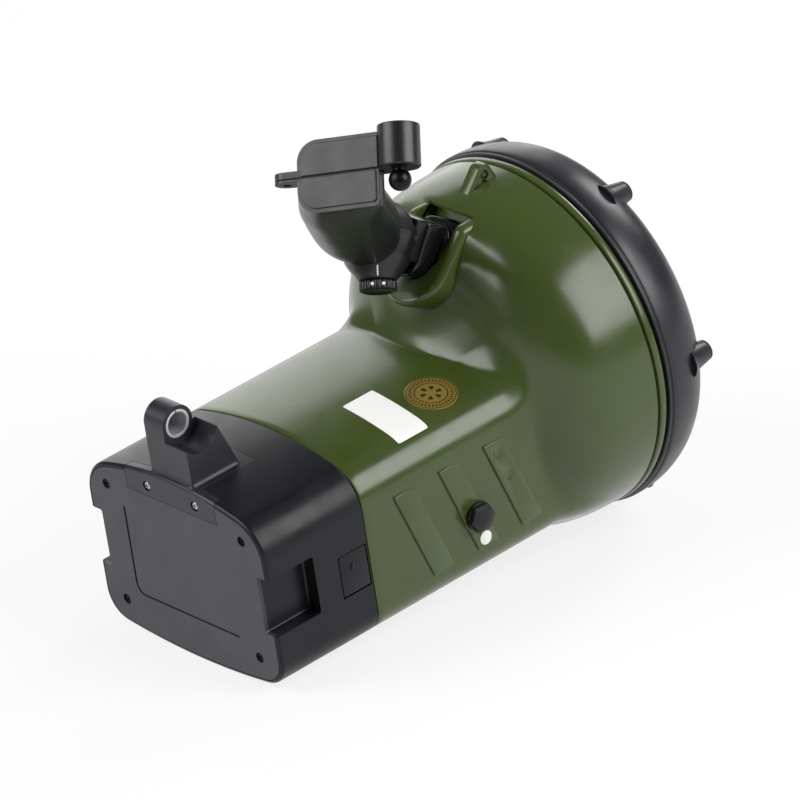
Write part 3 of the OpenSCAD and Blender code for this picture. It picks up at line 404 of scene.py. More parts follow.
# Side panels, strap eye and socket pad: details of the same moulding. Three slanted
# panels a side stand proud at the rear, and the eye on the rim takes a carrying strap.
panel_start, panel_pitch, panel_w, panel_rise = 97.2, 34.8, 16.6, 1.5
panel_lean, panel_high, panel_low = 20.8, -0.4, -61.5
panels = []
for number in range(3):
    for side in (-1, 1):
        y = panel_start + number * panel_pitch
        corners = [(y, panel_high, panel_rise), (y + panel_w, panel_high, 0.05),
                   (y + panel_w + panel_lean, panel_low, 0.05), (y + panel_lean, panel_low, panel_rise)]
        inner = [(side * (half_w - 3), at_y, at_z) for at_y, at_z, rise in corners]
        outer = [(side * (half_w + rise), at_y, at_z) for at_y, at_z, rise in corners]
        panels.append(eased(ringed("side_panel", [inner, outer]), 0.8))


def gathered(name, pieces):
    """Several meshes kept as one piece."""
    work = bmesh.new()
    for piece in pieces:
        work.from_mesh(piece.data)
    mesh = bpy.data.meshes.new(name)
    work.to_mesh(mesh)
    work.free()
    for piece in pieces:
        spent = piece.data
        bpy.data.objects.remove(piece)
        bpy.data.meshes.remove(spent)
    whole = bpy.data.objects.new(name, mesh)
    bpy.context.scene.collection.objects.link(whole)
    return smoothed(whole)


def turned(name, outline, place=lamp, count=96, looped=False):
    """A turned piece: an outline of radius and place along Y, spun about Y."""
    turns = np.radians(np.arange(count) * 360 / count)
    rows = [np.stack([r * np.sin(turns), np.full(count, float(y)), r * np.cos(turns)], 1) for r, y in outline]
    return ringed(name, rows, place, looped)


def across(y, z, place=lamp):
    """A place whose Y axis runs along the lamp's X axis."""
    return place @ Matrix.Translation((0, y, z)) @ Matrix.Rotation(-math.pi / 2, 4, "Z")


def arc(cy, cz, r, start, end, steps=24):
    turns = np.radians(np.linspace(start, end, steps + 1))
    return np.column_stack([cy + r * np.cos(turns), cz + r * np.sin(turns)])


mark_r, mark_depth = 4.0, 0.75
mark_round = (mark_r ** 2 + mark_depth ** 2) / 2 / mark_depth
for y, z in ((177.8, -8.1), (183.9, -24.6)):
    behind = (y - panel_start - 2 * panel_pitch - panel_lean * (panel_high - z) / (panel_high - panel_low)) / panel_w
    low_x = half_w + panel_rise * (1 - behind) - mark_depth
    bowl = [(mark_round * math.sin(t), low_x + mark_round * (1 - math.cos(t))) for t in np.linspace(0, 0.9, 12)]
    for number, side in ((4, -1), (5, 1)):
        worked(panels[number], "DIFFERENCE", turned(
            "panel_mark", bowl + [(0, bowl[-1][1])], lamp @ Matrix.Scale(side, 4, (1, 0, 0)) @ Matrix.Translation((0, y, z))
            @ Matrix.Rotation(-math.pi / 2, 4, "Z"), 40))
eye_y, eye_z = bell_rim - 25, bell_r + 4
eye_outline = np.vstack([[(eye_y - 15, bell_r - 3.2)], arc(eye_y, eye_z, 6.5, 128, 50), [(eye_y + 9.5, bell_r - 2)]])
eye = slab("strap_eye", eye_outline, -3.5, 3.5, "x")
worked(eye, "DIFFERENCE", turned("eye_hole", [(0, -6), (3.2, -6), (3.2, 6), (0, 6)], across(eye_y, eye_z), 40))
for side in (-1, 1):
    hollow = [(eye_y - 9.5, bell_r - 1.6), (eye_y - 3.4, eye_z - 1.6), (eye_y + 2.6, eye_z - 4.4), (eye_y + 5.4, bell_r - 1.6)]
    worked(eye, "DIFFERENCE", slab("eye_hollow", hollow, *sorted((side * 1.4, side * 6)), "x"))
eased(eye, 0.6)
socket_y, socket_z = 154.5, -39.0
pad = turned("socket_pad", [(0, half_w - 3), (9.4, half_w - 3), (9.4, half_w + 0.9), (9.0, half_w + 1.4),
                            (7.0, half_w + 1.4), (7.0, half_w - 2), (0, half_w - 2)], across(socket_y, socket_z))
housing = gathered("main_housing_skin", [housing, boss, liner, eye, pad] + panels)
painted(housing, olive)
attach(housing, "housing")
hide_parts("main_housing")

# Tail of the lamp: a bay plate with two brass blades faces the battery, and a finned
# driver case fills the room behind it. They're pressed and screwed in before the ring.
black_matt = moulded("black_inner_plastic", tint(30, 30, 32), tint(38, 38, 40), (0.42, 0.6), 900, 0.03)
driver_grey = moulded("driver_case", tint(52, 54, 56), tint(66, 68, 70), (0.38, 0.55), 700, 0.04, Metallic=0.6)


def metal(name, shade, light, gloss, streak, **sockets):
    """Machined or pressed metal: fine drawn streaks, dull patches and bright edges."""
    material, wire = new_finish(name)
    place = wire.node("ShaderNodeTexCoord", output="Object")
    drawn = wire.node("ShaderNodeMapping", {}, {"Vector": place, "Scale": streak})
    lines = wire.node("ShaderNodeTexNoise", {}, {"Vector": drawn, "Scale": 1.0, "Detail": 3})
    dull = wire.node("ShaderNodeTexNoise", {}, {"Vector": place, "Scale": 160, "Detail": 4})
    edge = wire.node("ShaderNodeNewGeometry", output="Pointiness").clear_of(0.52, 0.6)
    tone = lines.clear_of(0.3, 0.7) * 0.7 + edge * 0.3
    rough = gloss[0] + dull.clear_of(0.35, 0.7) * (gloss[1] - gloss[0])
    bump = wire.node("ShaderNodeBump", {}, {"Height": lines, "Distance": 0.006 * MM})
    body = wire.node("ShaderNodeBsdfPrincipled", {}, {
        "Base Color": tone.mixed(shade, light), "Roughness": rough, "Normal": bump, "Metallic": 1.0, **sockets})
    wire.node("ShaderNodeOutputMaterial", {}, {"Surface": body})
    return material


brass = metal("contact_brass", tint(176, 140, 70), tint(206, 172, 98), (0.22, 0.4), (900, 900, 60))
nodes = frame["nodes"]
painted(nodes["bay_plate"], black_matt)
painted(nodes["bay_contacts"], brass)
painted(nodes["driver_module"], driver_grey)

# Charging point: a socket in the right side under a hexagonal rubber cap that pulls off,
# and a round white indicator below it, pushed into the wall from outside.
rubber = moulded("black_rubber", tint(15, 15, 16), tint(22, 22, 24), (0.42, 0.6), 1400, 0.03, **{"Specular IOR Level": 0.35})
seat_x = half_w + 1.7
cap_flats, cap_h = 15.8, 4.8
flange = [(0, seat_x), (8.2, seat_x), (8.6, seat_x + 0.5), (8.6, seat_x + 2.1), (8.1, seat_x + 2.6), (0, seat_x + 2.6)]
corners = np.radians(np.arange(6) * 60)
hexagon = np.column_stack([np.cos(corners), np.sin(corners)]) * cap_flats / math.sqrt(3)
hexagon += np.array([socket_y, socket_z])
grip_hex = slab("cap_hexagon", hexagon, seat_x + 1, seat_x + 2.6 + cap_h, "x")
dome = [(20 * math.sin(t), seat_x + 2.6 + cap_h - 20 + 20 * math.cos(t)) for t in np.linspace(math.pi / 2, 0, 24)]
worked(grip_hex, "INTERSECT", turned("cap_dome", [(0, dome[0][1] - 1), (20, dome[0][1] - 1)] + dome, across(socket_y, socket_z), 64))
cap = gathered("charge_cap_rubber", [turned("cap_flange", flange, across(socket_y, socket_z)), eased(grip_hex, 0.7)])
painted(cap, rubber)
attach(cap, "charge_cap")
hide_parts("charge_cap")
painted(nodes["charge_socket"], black_matt)

lens_r = 4.3
lens_dome = [(lens_r * s, half_w + 2.3 - 14 + math.sqrt(14 ** 2 - (lens_r * s) ** 2)) for s in np.linspace(1, 0, 12)]
indicator = turned("indicator_dome", [(0, half_w - 5.2), (lens_r, half_w - 5.2)] + lens_dome,
                   across(socket_y + 4, socket_z - 16.5), 64)
milky = moulded("indicator_white", tint(226, 228, 222), tint(240, 241, 236), (0.18, 0.3), 500, 0.01)
painted(indicator, milky)
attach(indicator, "housing")
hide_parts("indicator_lens")

# Swivel seat: a glossy black block with a U outline fills the boss, and a ribbed rubber
# boot behind it closes the pocket around the wires. A steel post and nut hold the hub.
black_gloss = moulded("black_gloss_plastic", tint(12, 12, 13), tint(18, 18, 19), (0.14, 0.22), 500, 0.008, **{"Specular IOR Level": 0.4})
base_face = -1.4
base = slab("swivel_seat", u_outline(base_half_w - 0.2, base_drop, 12.5), base_back, base_face - 9.5, "z", swivel)
neck = slab("swivel_neck", [(-10.8, -11.5), (10.8, -11.5), (10.8, 13.5), (-10.8, 13.5)], base_back + 2, base_face - 1.6, "z", swivel)
eased(base, 1.8, 4)
eased(neck, 1.4, 4)
along_swivel = swivel @ Matrix.Rotation(math.pi / 2, 4, "X")
collar = turned("swivel_collar", [(8.1, base_face - 3), (13.5, base_face - 3), (13.5, base_face - 0.4), (13.1, base_face),
                                  (8.1, base_face)], along_swivel, looped=True)
base = gathered("swivel_seat_block", [base, neck, collar])
painted(base, black_gloss)
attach(base, "housing")
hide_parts("swivel_base")

rib_count = 4
rib_out, rib_in = pocket_r - 1.6, pocket_r - 4.8
boot_pitch = (base_back - pocket_floor) / rib_count
steps = np.linspace(0, 1, 12, endpoint=False)
boot_outline = [(7.0, pocket_floor)]
boot_outline += [(rib_in + (rib_out - rib_in) * (0.5 - 0.5 * math.cos(2 * math.pi * s)) ** 0.6,
                  pocket_floor + boot_pitch * (rib + s)) for rib in range(rib_count) for s in steps]
boot_outline += [(rib_in, base_back), (7.0, base_back)]
boot = turned("boot_ribs", boot_outline, along_swivel, looped=True)
painted(boot, black_gloss)
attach(boot, "housing")
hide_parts("cable_boot")
steel = metal("bright_steel", tint(168, 170, 174), tint(206, 208, 212), (0.16, 0.32), (1200, 1200, 120))
painted(nodes["swivel_post"], steel)
painted(nodes["swivel_nut"], steel)

# Reflector and bulb: a spun and silvered bowl, flanged under the lens, with a ceramic
# holder in its throat and a clear bulb on a white base.
ring_back, ring_front = bell_rim, bell_rim + 36.0
lip_back = ring_front - 6
lens_back = lip_back - 7.5
stack_r, sleeve_r = ring_r - 8, ring_r - 5
sleeve_front = lens_back - 2.4
bowl_r = sleeve_r - 9.5
bowl_depth = 84.0
bowl_vertex = sleeve_front - bowl_depth
throat_r = 13.0
bowl = [(r, bowl_vertex + bowl_depth * (r / bowl_r) ** 2) for r in np.linspace(throat_r, bowl_r, 40)]
bowl_back = [(r + 1.6, y - 0.8) for r, y in bowl[::-1]]
reflector = turned("reflector_bowl", bowl + [(bowl_r, lens_back), (stack_r - 0.3, lens_back), (stack_r - 0.3, sleeve_front),
                                             (bowl_r + 1.6, sleeve_front)] + bowl_back, looped=True, count=128)
silver = metal("reflector_mirror", tint(214, 216, 220), tint(236, 238, 240), (0.03, 0.07), (40, 40, 40))
painted(reflector, silver)
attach(reflector, "housing")
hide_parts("reflector")

holder_front = bowl_vertex + 2
bulb_r, bulb_len = 6.4, 26.0
bulb_seat = holder_front + 10
bulb_tip = [(bulb_r * math.cos(t), bulb_seat + bulb_len + bulb_r * math.sin(t)) for t in np.linspace(0, math.pi / 2, 14)]
bulb = turned("bulb_envelope", [(0, bulb_seat), (bulb_r - 2, bulb_seat), (bulb_r - 0.6, bulb_seat + 1.6),
                                (bulb_r, bulb_seat + 4)] + bulb_tip, count=64)


def glass(name, colour, gloss, smear):
    """Clear glass with a faint smear in its polish."""
    material, wire = new_finish(name)
    place = wire.node("ShaderNodeTexCoord", output="Object")
    wiped = wire.node("ShaderNodeTexNoise", {}, {"Vector": place, "Scale": smear, "Detail": 4})
    rough = gloss + wiped.clear_of(0.5, 0.8) * 0.05
    body = wire.node("ShaderNodeBsdfPrincipled", {}, {
        "Base Color": wiped.clear_of(0.3, 0.8).mixed(colour, tint(250, 252, 252)), "Roughness": rough,
        "IOR": 1.5, "Transmission Weight": 1.0})
    wire.node("ShaderNodeOutputMaterial", {}, {"Surface": body})
    return material


painted(bulb, glass("bulb_glass", tint(236, 240, 244), 0.02, 120))
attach(bulb, "housing")
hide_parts("lamp_bulb")
ceramic = moulded("white_ceramic", tint(214, 210, 200), tint(228, 225, 216), (0.3, 0.45), 600, 0.02)
painted(nodes["bulb_base"], ceramic)
painted(nodes["lamp_holder"], ceramic)

# Front ring: a domed black moulding that screws over the bell and clamps the lens on its
# gasket. Six round rubber feet are pushed into its face, so the lamp can stand on it.
crown, crown_drop = ring_back + 6.5, 21.0
crown_len = (ring_front - crown) / 0.95
bore_r = ring_r - 20.8
ring_outline = [(sleeve_r, ring_back), (ring_r - 1.5, ring_back), (ring_r - 1.0, ring_back + 0.35), (ring_r - 0.9, ring_back + 1.5),
                (ring_r - 1.1, ring_back + 1.9), (ring_r - 1.0, ring_back + 2.4), (ring_r - 0.3, ring_back + 2.7),
                (ring_r, ring_back + 3.4)]
ring_outline += [(ring_r - crown_drop * (1 - math.sqrt(1 - s * s)), crown + s * crown_len)
                 for s in np.sin(np.linspace(0, 1.25, 36)) if s < 0.95]
ring_outline += [(ring_r - crown_drop * (1 - math.sqrt(1 - 0.95 ** 2)) - 0.6, ring_front - 0.2),
                 (ring_r - crown_drop * (1 - math.sqrt(1 - 0.95 ** 2)) - 1.6, ring_front),
                 (bore_r + 0.8, ring_front), (bore_r + 0.2, ring_front - 0.2), (bore_r, ring_front - 0.8), (bore_r, lip_back),
                 (stack_r, lip_back), (stack_r, sleeve_front), (sleeve_r, sleeve_front)]
ring = turned("front_ring_dome", ring_outline, count=256, looped=True)
foot_r, foot_h, foot_count, foot_turn = 6.3, 3.0, 6, 0.0
foot_circle = ring_r - 9.8
pad_back = ring_front + foot_h - 2.4
foot_rows = [(0, ring_front - 15), (foot_r + 4.6, ring_front - 15), (foot_r + 3.2, ring_front - 12.5), (foot_r + 2.2, ring_front - 9.5),
             (foot_r + 1.4, ring_front - 6), (foot_r + 0.7, ring_front - 2), (foot_r + 0.2, pad_back), (0, pad_back)]
foot_spots = []
for number in range(foot_count):
    turn = math.radians(360 * (number + 0.5) / foot_count - 90 + foot_turn)
    foot_spots.append(lamp @ Matrix.Translation((foot_circle * math.cos(turn), 0, -foot_circle * math.sin(turn))))
worked(ring, "UNION", *[turned("foot_boss", foot_rows, spot, 64) for spot in foot_spots])
worked(ring, "DIFFERENCE", turned("lens_room", [(0, sleeve_front), (stack_r, sleeve_front), (stack_r, lip_back), (bore_r, lip_back),
                                                (bore_r, ring_front + 20), (0, ring_front + 20)], count=256))
smoothed(ring, 40)
satin_black = moulded("black_satin_plastic", tint(25, 25, 31), tint(32, 32, 39), (0.3, 0.4), 1500, 0.02, **{"Specular IOR Level": 0.5})
painted(ring, satin_black)
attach(ring, "housing")
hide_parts("front_ring")

tip, tip_round = ring_front + foot_h, 1.6
pad_outline = [(0, pad_back - 4), (3, pad_back - 4), (3, pad_back), (foot_r, pad_back)]
pad_outline += [(foot_r - tip_round * (1 - math.cos(t)), tip - tip_round * (1 - math.sin(t)))
                for t in np.linspace(0, math.pi / 2, 10)]
pad_outline += [(1.6, tip), (1.2, tip - 0.5), (0, tip - 0.6)]
feet = gathered("foot_pads", [turned("foot_pad", pad_outline, spot, 48) for spot in foot_spots])
painted(feet, rubber)
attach(feet, "housing")
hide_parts("ring_feet")
painted(nodes["lens_gasket"], rubber)
painted(nodes["lens_glass"], glass("clear_glass", tint(232, 242, 240), 0.01, 25))

# Battery pack: a black moulded shell that slides into the tail on a spigot, with finger
# recesses at both sides and a flat rear cover, held by four black screws.
spigot_front, spigot_inset = pack_len + 24, wall + 0.4
rear_round, cover_lip = 2.5, 2.5
recess_depth, recess_len, recess_top, recess_bottom = 9.5, 34.0, -8.3, -45.0
tab_front, tab_len, tab_top, tab_h, tab_t = pack_len - 1.8, 20.2, -19.0, 24.4, 2.6
flange_half_w, flange_low = 38.8, 16.0
plate_half_w, plate_len, plate_low = 24.0, 46.0, 26.4
cover_spots = [(-58.9, 11.8), (58.9, 11.8), (-58.2, -64.3), (58.2, -64.3)]
lug_spots = [(-20.8, 22.4), (20.8, 22.4)]
head_r = 2.75


def pack_rows(first):
    """The pack's outside from its rounded rear edge to the parting line."""
    edge = [(rear_round * (1 - math.sin(t)), rear_round * (1 - math.cos(t))) for t in np.linspace(0.12, math.pi / 2, 7)]
    rows = first + edge + [(0, 30), (0, pack_len - 0.8), (0.3, pack_len - 0.2), (0.9, pack_len)]
    return [ring_at(y, box_reach(around, inset)) for inset, y in rows]


def recess_tools(grow):
    return [eased(brick("finger_recess", (min(side * (half_w - recess_depth - grow), side * (half_w + 6)), -6, recess_bottom - grow),
                        (max(side * (half_w - recess_depth - grow), side * (half_w + 6)), recess_len + grow, recess_top + grow)),
                  1.5 + grow) for side in (-1, 1)]


def flange_room(gap):
    return brick("lug_flange", (-flange_half_w - gap, -3, flange_low - gap), (flange_half_w + gap, 6 + gap, 50))


def plate_room(gap):
    return brick("lug_plate", (-plate_half_w - gap, 5.7, plate_low), (plate_half_w + gap, plate_len + gap, 50))


shell = ringed("pack_body", pack_rows([(cover_lip, 2.6), (cover_lip, 0.4)])
               + [ring_at(y, box_reach(around, inset)) for inset, y in
                  ((spigot_inset, pack_len), (spigot_inset, spigot_front - 0.8), (spigot_inset + 0.8, spigot_front))])
tab_slots = [brick("tab_slot", (min(side * (half_w - 7.5), side * (half_w + 2)), tab_front - tab_len - 0.7, tab_top - tab_h - tab_t / 2 - 0.4),
                   (max(side * (half_w - 7.5), side * (half_w + 2)), tab_front + 0.7, tab_top + 0.7)) for side in (-1, 1)]
worked(shell, "DIFFERENCE", *recess_tools(0.0), *tab_slots, flange_room(0.3), plate_room(0.3))
levelled(eased(shell, 0.5, 3, 50))
pack_black = moulded("pack_satin_plastic", tint(15, 16, 21), tint(21, 22, 28), (0.3, 0.42), 1300, 0.022, **{"Specular IOR Level": 0.28})
painted(shell, pack_black)
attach(shell, "battery")
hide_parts("pack_shell")

groove_w, groove_depth = 1.5, 0.9
bend = arc(-39.6, -49.4, 6.4, 180, 270, 10)
groove_mid = np.vstack([[(-45.6, 1.4)], bend, [(43.0, -55.8)]])
heading = np.gradient(groove_mid, axis=0)
aside = np.column_stack([-heading[:, 1], heading[:, 0]]) / np.linalg.norm(heading, axis=1)[:, None] * groove_w / 2
groove = slab("cover_groove", np.vstack([groove_mid + aside, (groove_mid - aside)[::-1]]), -3, groove_depth, "y")
cover = ringed("cover_plate", [ring_at(y, box_reach(around, inset)) for inset, y in
                               ((cover_lip + 0.6, 0), (cover_lip + 0.2, 0.15), (cover_lip + 0.15, 2.5))])
screw_wells = [turned("screw_well", [(0, -3), (head_r + 0.4, -3), (head_r + 0.4, 2.4), (0, 2.4)],
                      lamp @ Matrix.Translation((x, 0, z)), 40) for x, z in cover_spots]
worked(cover, "DIFFERENCE", *recess_tools(0.0), flange_room(0.3), groove, *screw_wells)
levelled(eased(cover, 0.3, 2, 50))
cover_grey = moulded("cover_satin_plastic", tint(42, 42, 50), tint(50, 50, 58), (0.34, 0.46), 1300, 0.02)
painted(cover, cover_grey)
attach(cover, "battery")
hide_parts("rear_cover")


def cross_screws(name, spots, place, seat, r=head_r):
    """Pan-head screws with a cross recess, their seats on one plane, heads towards -Y."""
    made = []
    for x, z in spots:
        at = place @ Matrix.Translation((x, 0, z))
        head = [(0, seat - 2), (r * 0.55, seat - 1.95), (r * 0.85, seat - 1.6), (r, seat - 1.0), (r, seat), (1.5, seat), (1.5, seat + 9), (0, seat + 9)]
        screw = turned("screw", head, at, 40)
        for half in ((1.6, 0.42), (0.42, 1.6)):
            worked(screw, "DIFFERENCE", brick("cross", (-half[0], seat - 3, -half[1]), (half[0], seat - 0.9, half[1]), at))
        made.append(screw)
    return gathered(name, made)


dark_steel = metal("dark_steel", tint(30, 30, 32), tint(52, 52, 54), (0.28, 0.45), (1500, 1500, 1500))
cover_heads = cross_screws("cover_screw_heads", cover_spots, lamp, 2.6)
painted(cover_heads, dark_steel)
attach(cover_heads, "battery")
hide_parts("cover_screws")

# Latch tabs: two springy tabs in slots of the pack's sides, cut free on three sides, with
# a small raised button to press.
for side, word in ((1, "right"), (-1, "left")):
    middle = tab_front - tab_len / 2
    tab_outline = np.vstack([[(half_w - tab_t, tab_top), (half_w - tab_t, tab_top - tab_h)],
                             arc(half_w - tab_t / 2, tab_top - tab_h, tab_t / 2, 180, 360, 8)[1:-1],
                             [(half_w, tab_top - tab_h), (half_w, tab_top)]])
    tab_outline[:, 0] *= side
    tab = eased(slab("tab_leaf", tab_outline, tab_front - tab_len, tab_front, "y"), 0.4)
    button = turned("tab_button", [(0, half_w - 1), (2.6, half_w - 1), (2.6, half_w + 0.45), (2.2, half_w + 0.75), (0, half_w + 0.8)],
                    lamp @ Matrix.Scale(side, 4, (1, 0, 0)) @ Matrix.Translation((0, middle, tab_top - 9)) @ Matrix.Rotation(-math.pi / 2, 4, "Z"), 40)
    latch = gathered("latch_leaf_" + word, [tab, button])
    painted(latch, pack_black)
    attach(latch, "latch_" + word)
    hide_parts("latch_tab_" + word)

# Handle lug: a black casting let into the pack's rear edge and held by two bright screws.
# Its left cheek carries a split steel bushing for the handle's ball, and a trough lies beside.
catch_y, catch_z = 13.7, 63.2
lug_r, lug_w, trough_w, trough_r = 11.0, 16.5, 18.5, 12.9
lip_z = catch_z - 5.5
bush_out, bush_bore, bush_len = 8.5, 6.75, 14.5
bush_proud = 0.05
plates = [flange_room(0.0), plate_room(0.0)]
for plate in plates:
    worked(plate, "INTERSECT", ringed("pack_outside", pack_rows([])))
plates[0] = eased(plates[0], 0.3, 2, 50)
worked(plates[0], "DIFFERENCE", *[
    turned("screw_seat", [(0, -3), (head_r + 0.35, -3), (head_r + 0.35, 2.4), (0, 2.4)], lamp @ Matrix.Translation((x, 0, z)), 40)
    for x, z in lug_spots])
root_z, front_rise = top_rise - 4, 3.6
rear_y = catch_y - lug_r
cheek_outline = np.vstack([[(rear_y, root_z), (38, root_z), (38, top_rise)], [(catch_y + lug_r, lip_z)],
                           arc(catch_y, catch_z, lug_r, 0, 180, 32)])
block = slab("lug_cheek", cheek_outline, -lug_w, 0.0, "x")
trough_outline = [(rear_y, lip_z - 2.6), (rear_y, root_z), (38, root_z), (38, top_rise), (catch_y + trough_r + 0.4, lip_z + front_rise)]
trough = slab("lug_trough", trough_outline, -1.0, trough_w, "x")
worked(trough, "DIFFERENCE", turned("barrel_room", [(0, 0), (trough_r, 0), (trough_r, 40), (0, 40)], across(catch_y, catch_z), 96))
worked(block, "UNION", trough)
worked(block, "DIFFERENCE", turned("bushing_bore", [(0, -bush_len), (bush_out, -bush_len), (bush_out, 3), (0, 3)], across(catch_y, catch_z), 64))
eased(block, 1.2, 3)
foot_rows = []
for turn in np.linspace(0, math.pi / 2, 8):
    out, rise = 3.4 * (1 - math.sin(turn)), 3.4 * (1 - math.cos(turn))
    back_y = 38 - rise * (38 - catch_y - lug_r) / (lip_z - top_rise) + out
    corners = ((trough_w + out, back_y), (-lug_w - out, back_y), (-lug_w - out, rear_y - out * 0.6), (trough_w + out, rear_y - out * 0.6))
    row = []
    for number, (x, y) in enumerate(corners):
        start = number * 90
        toward = ((-1, -1), (1, -1), (1, 1), (-1, 1))[number]
        row += arc(x + toward[0] * 2, y + toward[1] * 2, 2, start, start + 90, 6).tolist()
    foot_rows.append([(x, y, top_rise - top_arch + math.sqrt(top_arch ** 2 - x * x) - 0.5 + rise) for x, y in row])
skirting = ringed("lug_skirting", foot_rows)
lug = levelled(gathered("lug_casting", plates + [block, skirting]))
lug_black = moulded("lug_satin_plastic", tint(30, 30, 37), tint(37, 37, 45), (0.3, 0.4), 1300, 0.02, **{"Specular IOR Level": 0.4})
painted(lug, lug_black)
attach(lug, "battery")
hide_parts("handle_lug")

bushing = turned("split_bushing", [(bush_bore, -bush_len), (bush_bore, -0.3), (bush_bore + 0.3, bush_proud), (bush_out - 0.2, bush_proud), (bush_out, 0), (bush_out, -bush_len)],
                 across(catch_y, catch_z), 96, looped=True)
worked(bushing, "DIFFERENCE", brick("slit", (-bush_len - 2, catch_y - 0.6, catch_z), (2, catch_y + 0.6, catch_z + 12)))
pale_steel = metal("pale_steel", tint(188, 189, 190), tint(220, 221, 222), (0.36, 0.5), (900, 900, 120), Metallic=0.55)
painted(bushing, pale_steel)
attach(bushing, "battery")
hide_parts("lug_bushing")
lug_heads = cross_screws("lug_screw_heads", lug_spots, lamp, 2.2)
painted(lug_heads, steel)
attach(lug_heads, "battery")
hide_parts("lug_screws")

# Cells: twenty wrapped cells in two trays fill the pack, joined by welded strips, and two
# brass blades on the spigot's front meet those in the lamp.
wrap = moulded("cell_wrap", tint(42, 84, 106), tint(54, 98, 120), (0.22, 0.35), 500, 0.01)
tray = moulded("tray_plastic", tint(206, 205, 200), tint(220, 219, 214), (0.4, 0.55), 900, 0.02)
painted(nodes["battery_cells"], wrap)
painted(nodes["cell_trays"], tray)
painted(nodes["bus_strips"], steel)
painted(nodes["pack_terminals"], brass)

# Handle: two satin halves screwed together along the middle, swept up from a flat end to
# a round hub on the swivel. The right half carries the barrel that fills the lug's trough.
handle_turn = math.radians(-joints["handle_swivel"]["range_deg"][0])
handle = (lamp @ Matrix.Translation(swivel_at) @ Matrix.Rotation(handle_turn, 4, swivel_axis)
          @ Matrix.Translation(-swivel_at))
hub = handle @ lamp.inverted() @ along_swivel
grip_half_w, parting = 20.5, 0.18
lean = math.radians(11.3)
lean_up = np.array([math.sin(lean), math.cos(lean)])
lean_out = np.array([-math.cos(lean), math.sin(lean)])
catch = np.array([catch_y, catch_z])
end_low, end_high = catch + 9.6 * lean_up + 7.2 * lean_out, catch + 59 * lean_up + 7.2 * lean_out
spine = [(end_low - 8.4 * lean_out, end_high - 8.4 * lean_out, 0.2, 4, 12), ((48.5, 81.5), (56, 130.5), 0, 10, 14),
         ((80.7, 87.3), (85, 135.5), 0, 16, 17), ((111.7, 90.6), (113, 139), 0, 18, 18), ((142.6, 92.4), (140, 141), 0, 18.5, 18),
         ((163.3, 95.2), (160, 139.5), 0.6, 18.5, 18), ((175.9, 99.6), (175, 133), 3, 15, 14)]
stations = np.array([(*low, *high, inset, low_r, high_r) for low, high, inset, low_r, high_r in spine])
flowing = []
for k in range(len(stations) - 1):
    before, start, end, after = (stations[min(max(k + j, 0), len(stations) - 1)] for j in (-1, 0, 1, 2))
    for s in np.linspace(0, 1, 9, endpoint=False):
        flowing.append(0.5 * (2 * start + (end - before) * s + (2 * before - 5 * start + 4 * end - after) * s ** 2
                              + (3 * start - before - 3 * end + after) * s ** 3))
flowing.append(stations[-1])
end_rows = [np.array([*(end_low - back * lean_out), *(end_high - back * lean_out), inset, 4, 12])
            for back, inset in ((1.2, 2.6), (5.6, 2.6), (6.8, 0.6))]


def grip_row(station):
    """The grip's rounded section as a closed ring of points."""
    low, high, inset = station[:2], station[2:4], max(station[4], 0)
    up = (high - low) / np.linalg.norm(high - low)
    w, h = grip_half_w - inset, np.linalg.norm(high - low) - inset
    low_r, high_r = station[5] - min(inset, 1), station[6] - inset
    turns = np.radians(np.linspace(0, 90, 12))
    out = np.concatenate([w - low_r + low_r * np.sin(turns), w - high_r + high_r * np.cos(turns)])
    rise = np.concatenate([inset + low_r - low_r * np.cos(turns), h - high_r + high_r * np.sin(turns)])
    out, rise = np.concatenate([out, -out[::-1]]), np.concatenate([rise, rise[::-1]])
    return np.column_stack([out, low[0] + up[0] * rise, low[1] + up[1] * rise])


def fused(name, pieces, grain, passes, keep):
    """Overlapping solids run together into one moulded form with soft inner corners."""
    whole = gathered(name, pieces)
    melt = whole.modifiers.new("melt", "REMESH")
    melt.mode, melt.voxel_size = "VOXEL", grain * MM
    soft = whole.modifiers.new("soft", "SMOOTH")
    soft.factor, soft.iterations = 0.5, passes
    thin = whole.modifiers.new("thin", "DECIMATE")
    thin.ratio = keep
    return settle(whole, 40)


knuckle_r, knuckle_face, knuckle_end = 20.0, -1.0, 24.0
knuckle_outline = [(0.0, knuckle_face), (14.4, knuckle_face), (15.6, knuckle_face + 0.5), (knuckle_r - 0.8, knuckle_face + 7),
                   (knuckle_r, knuckle_face + 9)]
knuckle_outline += [(knuckle_r - 9 + 9 * math.cos(t), knuckle_end - 9 + 9 * math.sin(t)) for t in np.linspace(0, math.pi / 2, 9)]
knuckle_outline += [(0.0, knuckle_end)]
dial_y, dial_z, dial_seat = 183.0, 113.6, -27.0
seat_outline = [(0, dial_seat), (10.6, dial_seat), (11.3, dial_seat + 0.6), (13.2, dial_seat + 3.5), (16.2, dial_seat + 7),
                (18.8, dial_seat + 11), (19.8, dial_seat + 15), (19.8, -8), (0, -8)]
body = fused("handle_body", [
    ringed("grip", [grip_row(station) for station in end_rows + flowing], handle), turned("knuckle", knuckle_outline, hub, 128),
    turned("dial_seat", seat_outline, across(dial_y, dial_z, handle), 96)], 0.8, 12, 0.45)
hub_room = [(0, knuckle_face - 3), (13.0, knuckle_face - 3), (13.0, 14.6), (0, 14.6)]
worked(body, "DIFFERENCE", turned("hub_room", hub_room, hub, 64))
tab_at = catch + 68 * lean_up
grip_screws = [(46.9, 106.3), (92.3, 109.7), (137.6, 112.2)]
grip_end = handle @ Matrix.Translation((0, *catch)) @ Matrix(((1, 0, 0), (0, *lean_up), (0, *lean_out))).transposed().to_4x4()
end_out, plate_t, panel_rise_end, barrel_r = 7.2, 3.6, 0.9, 12.0
halves = {}
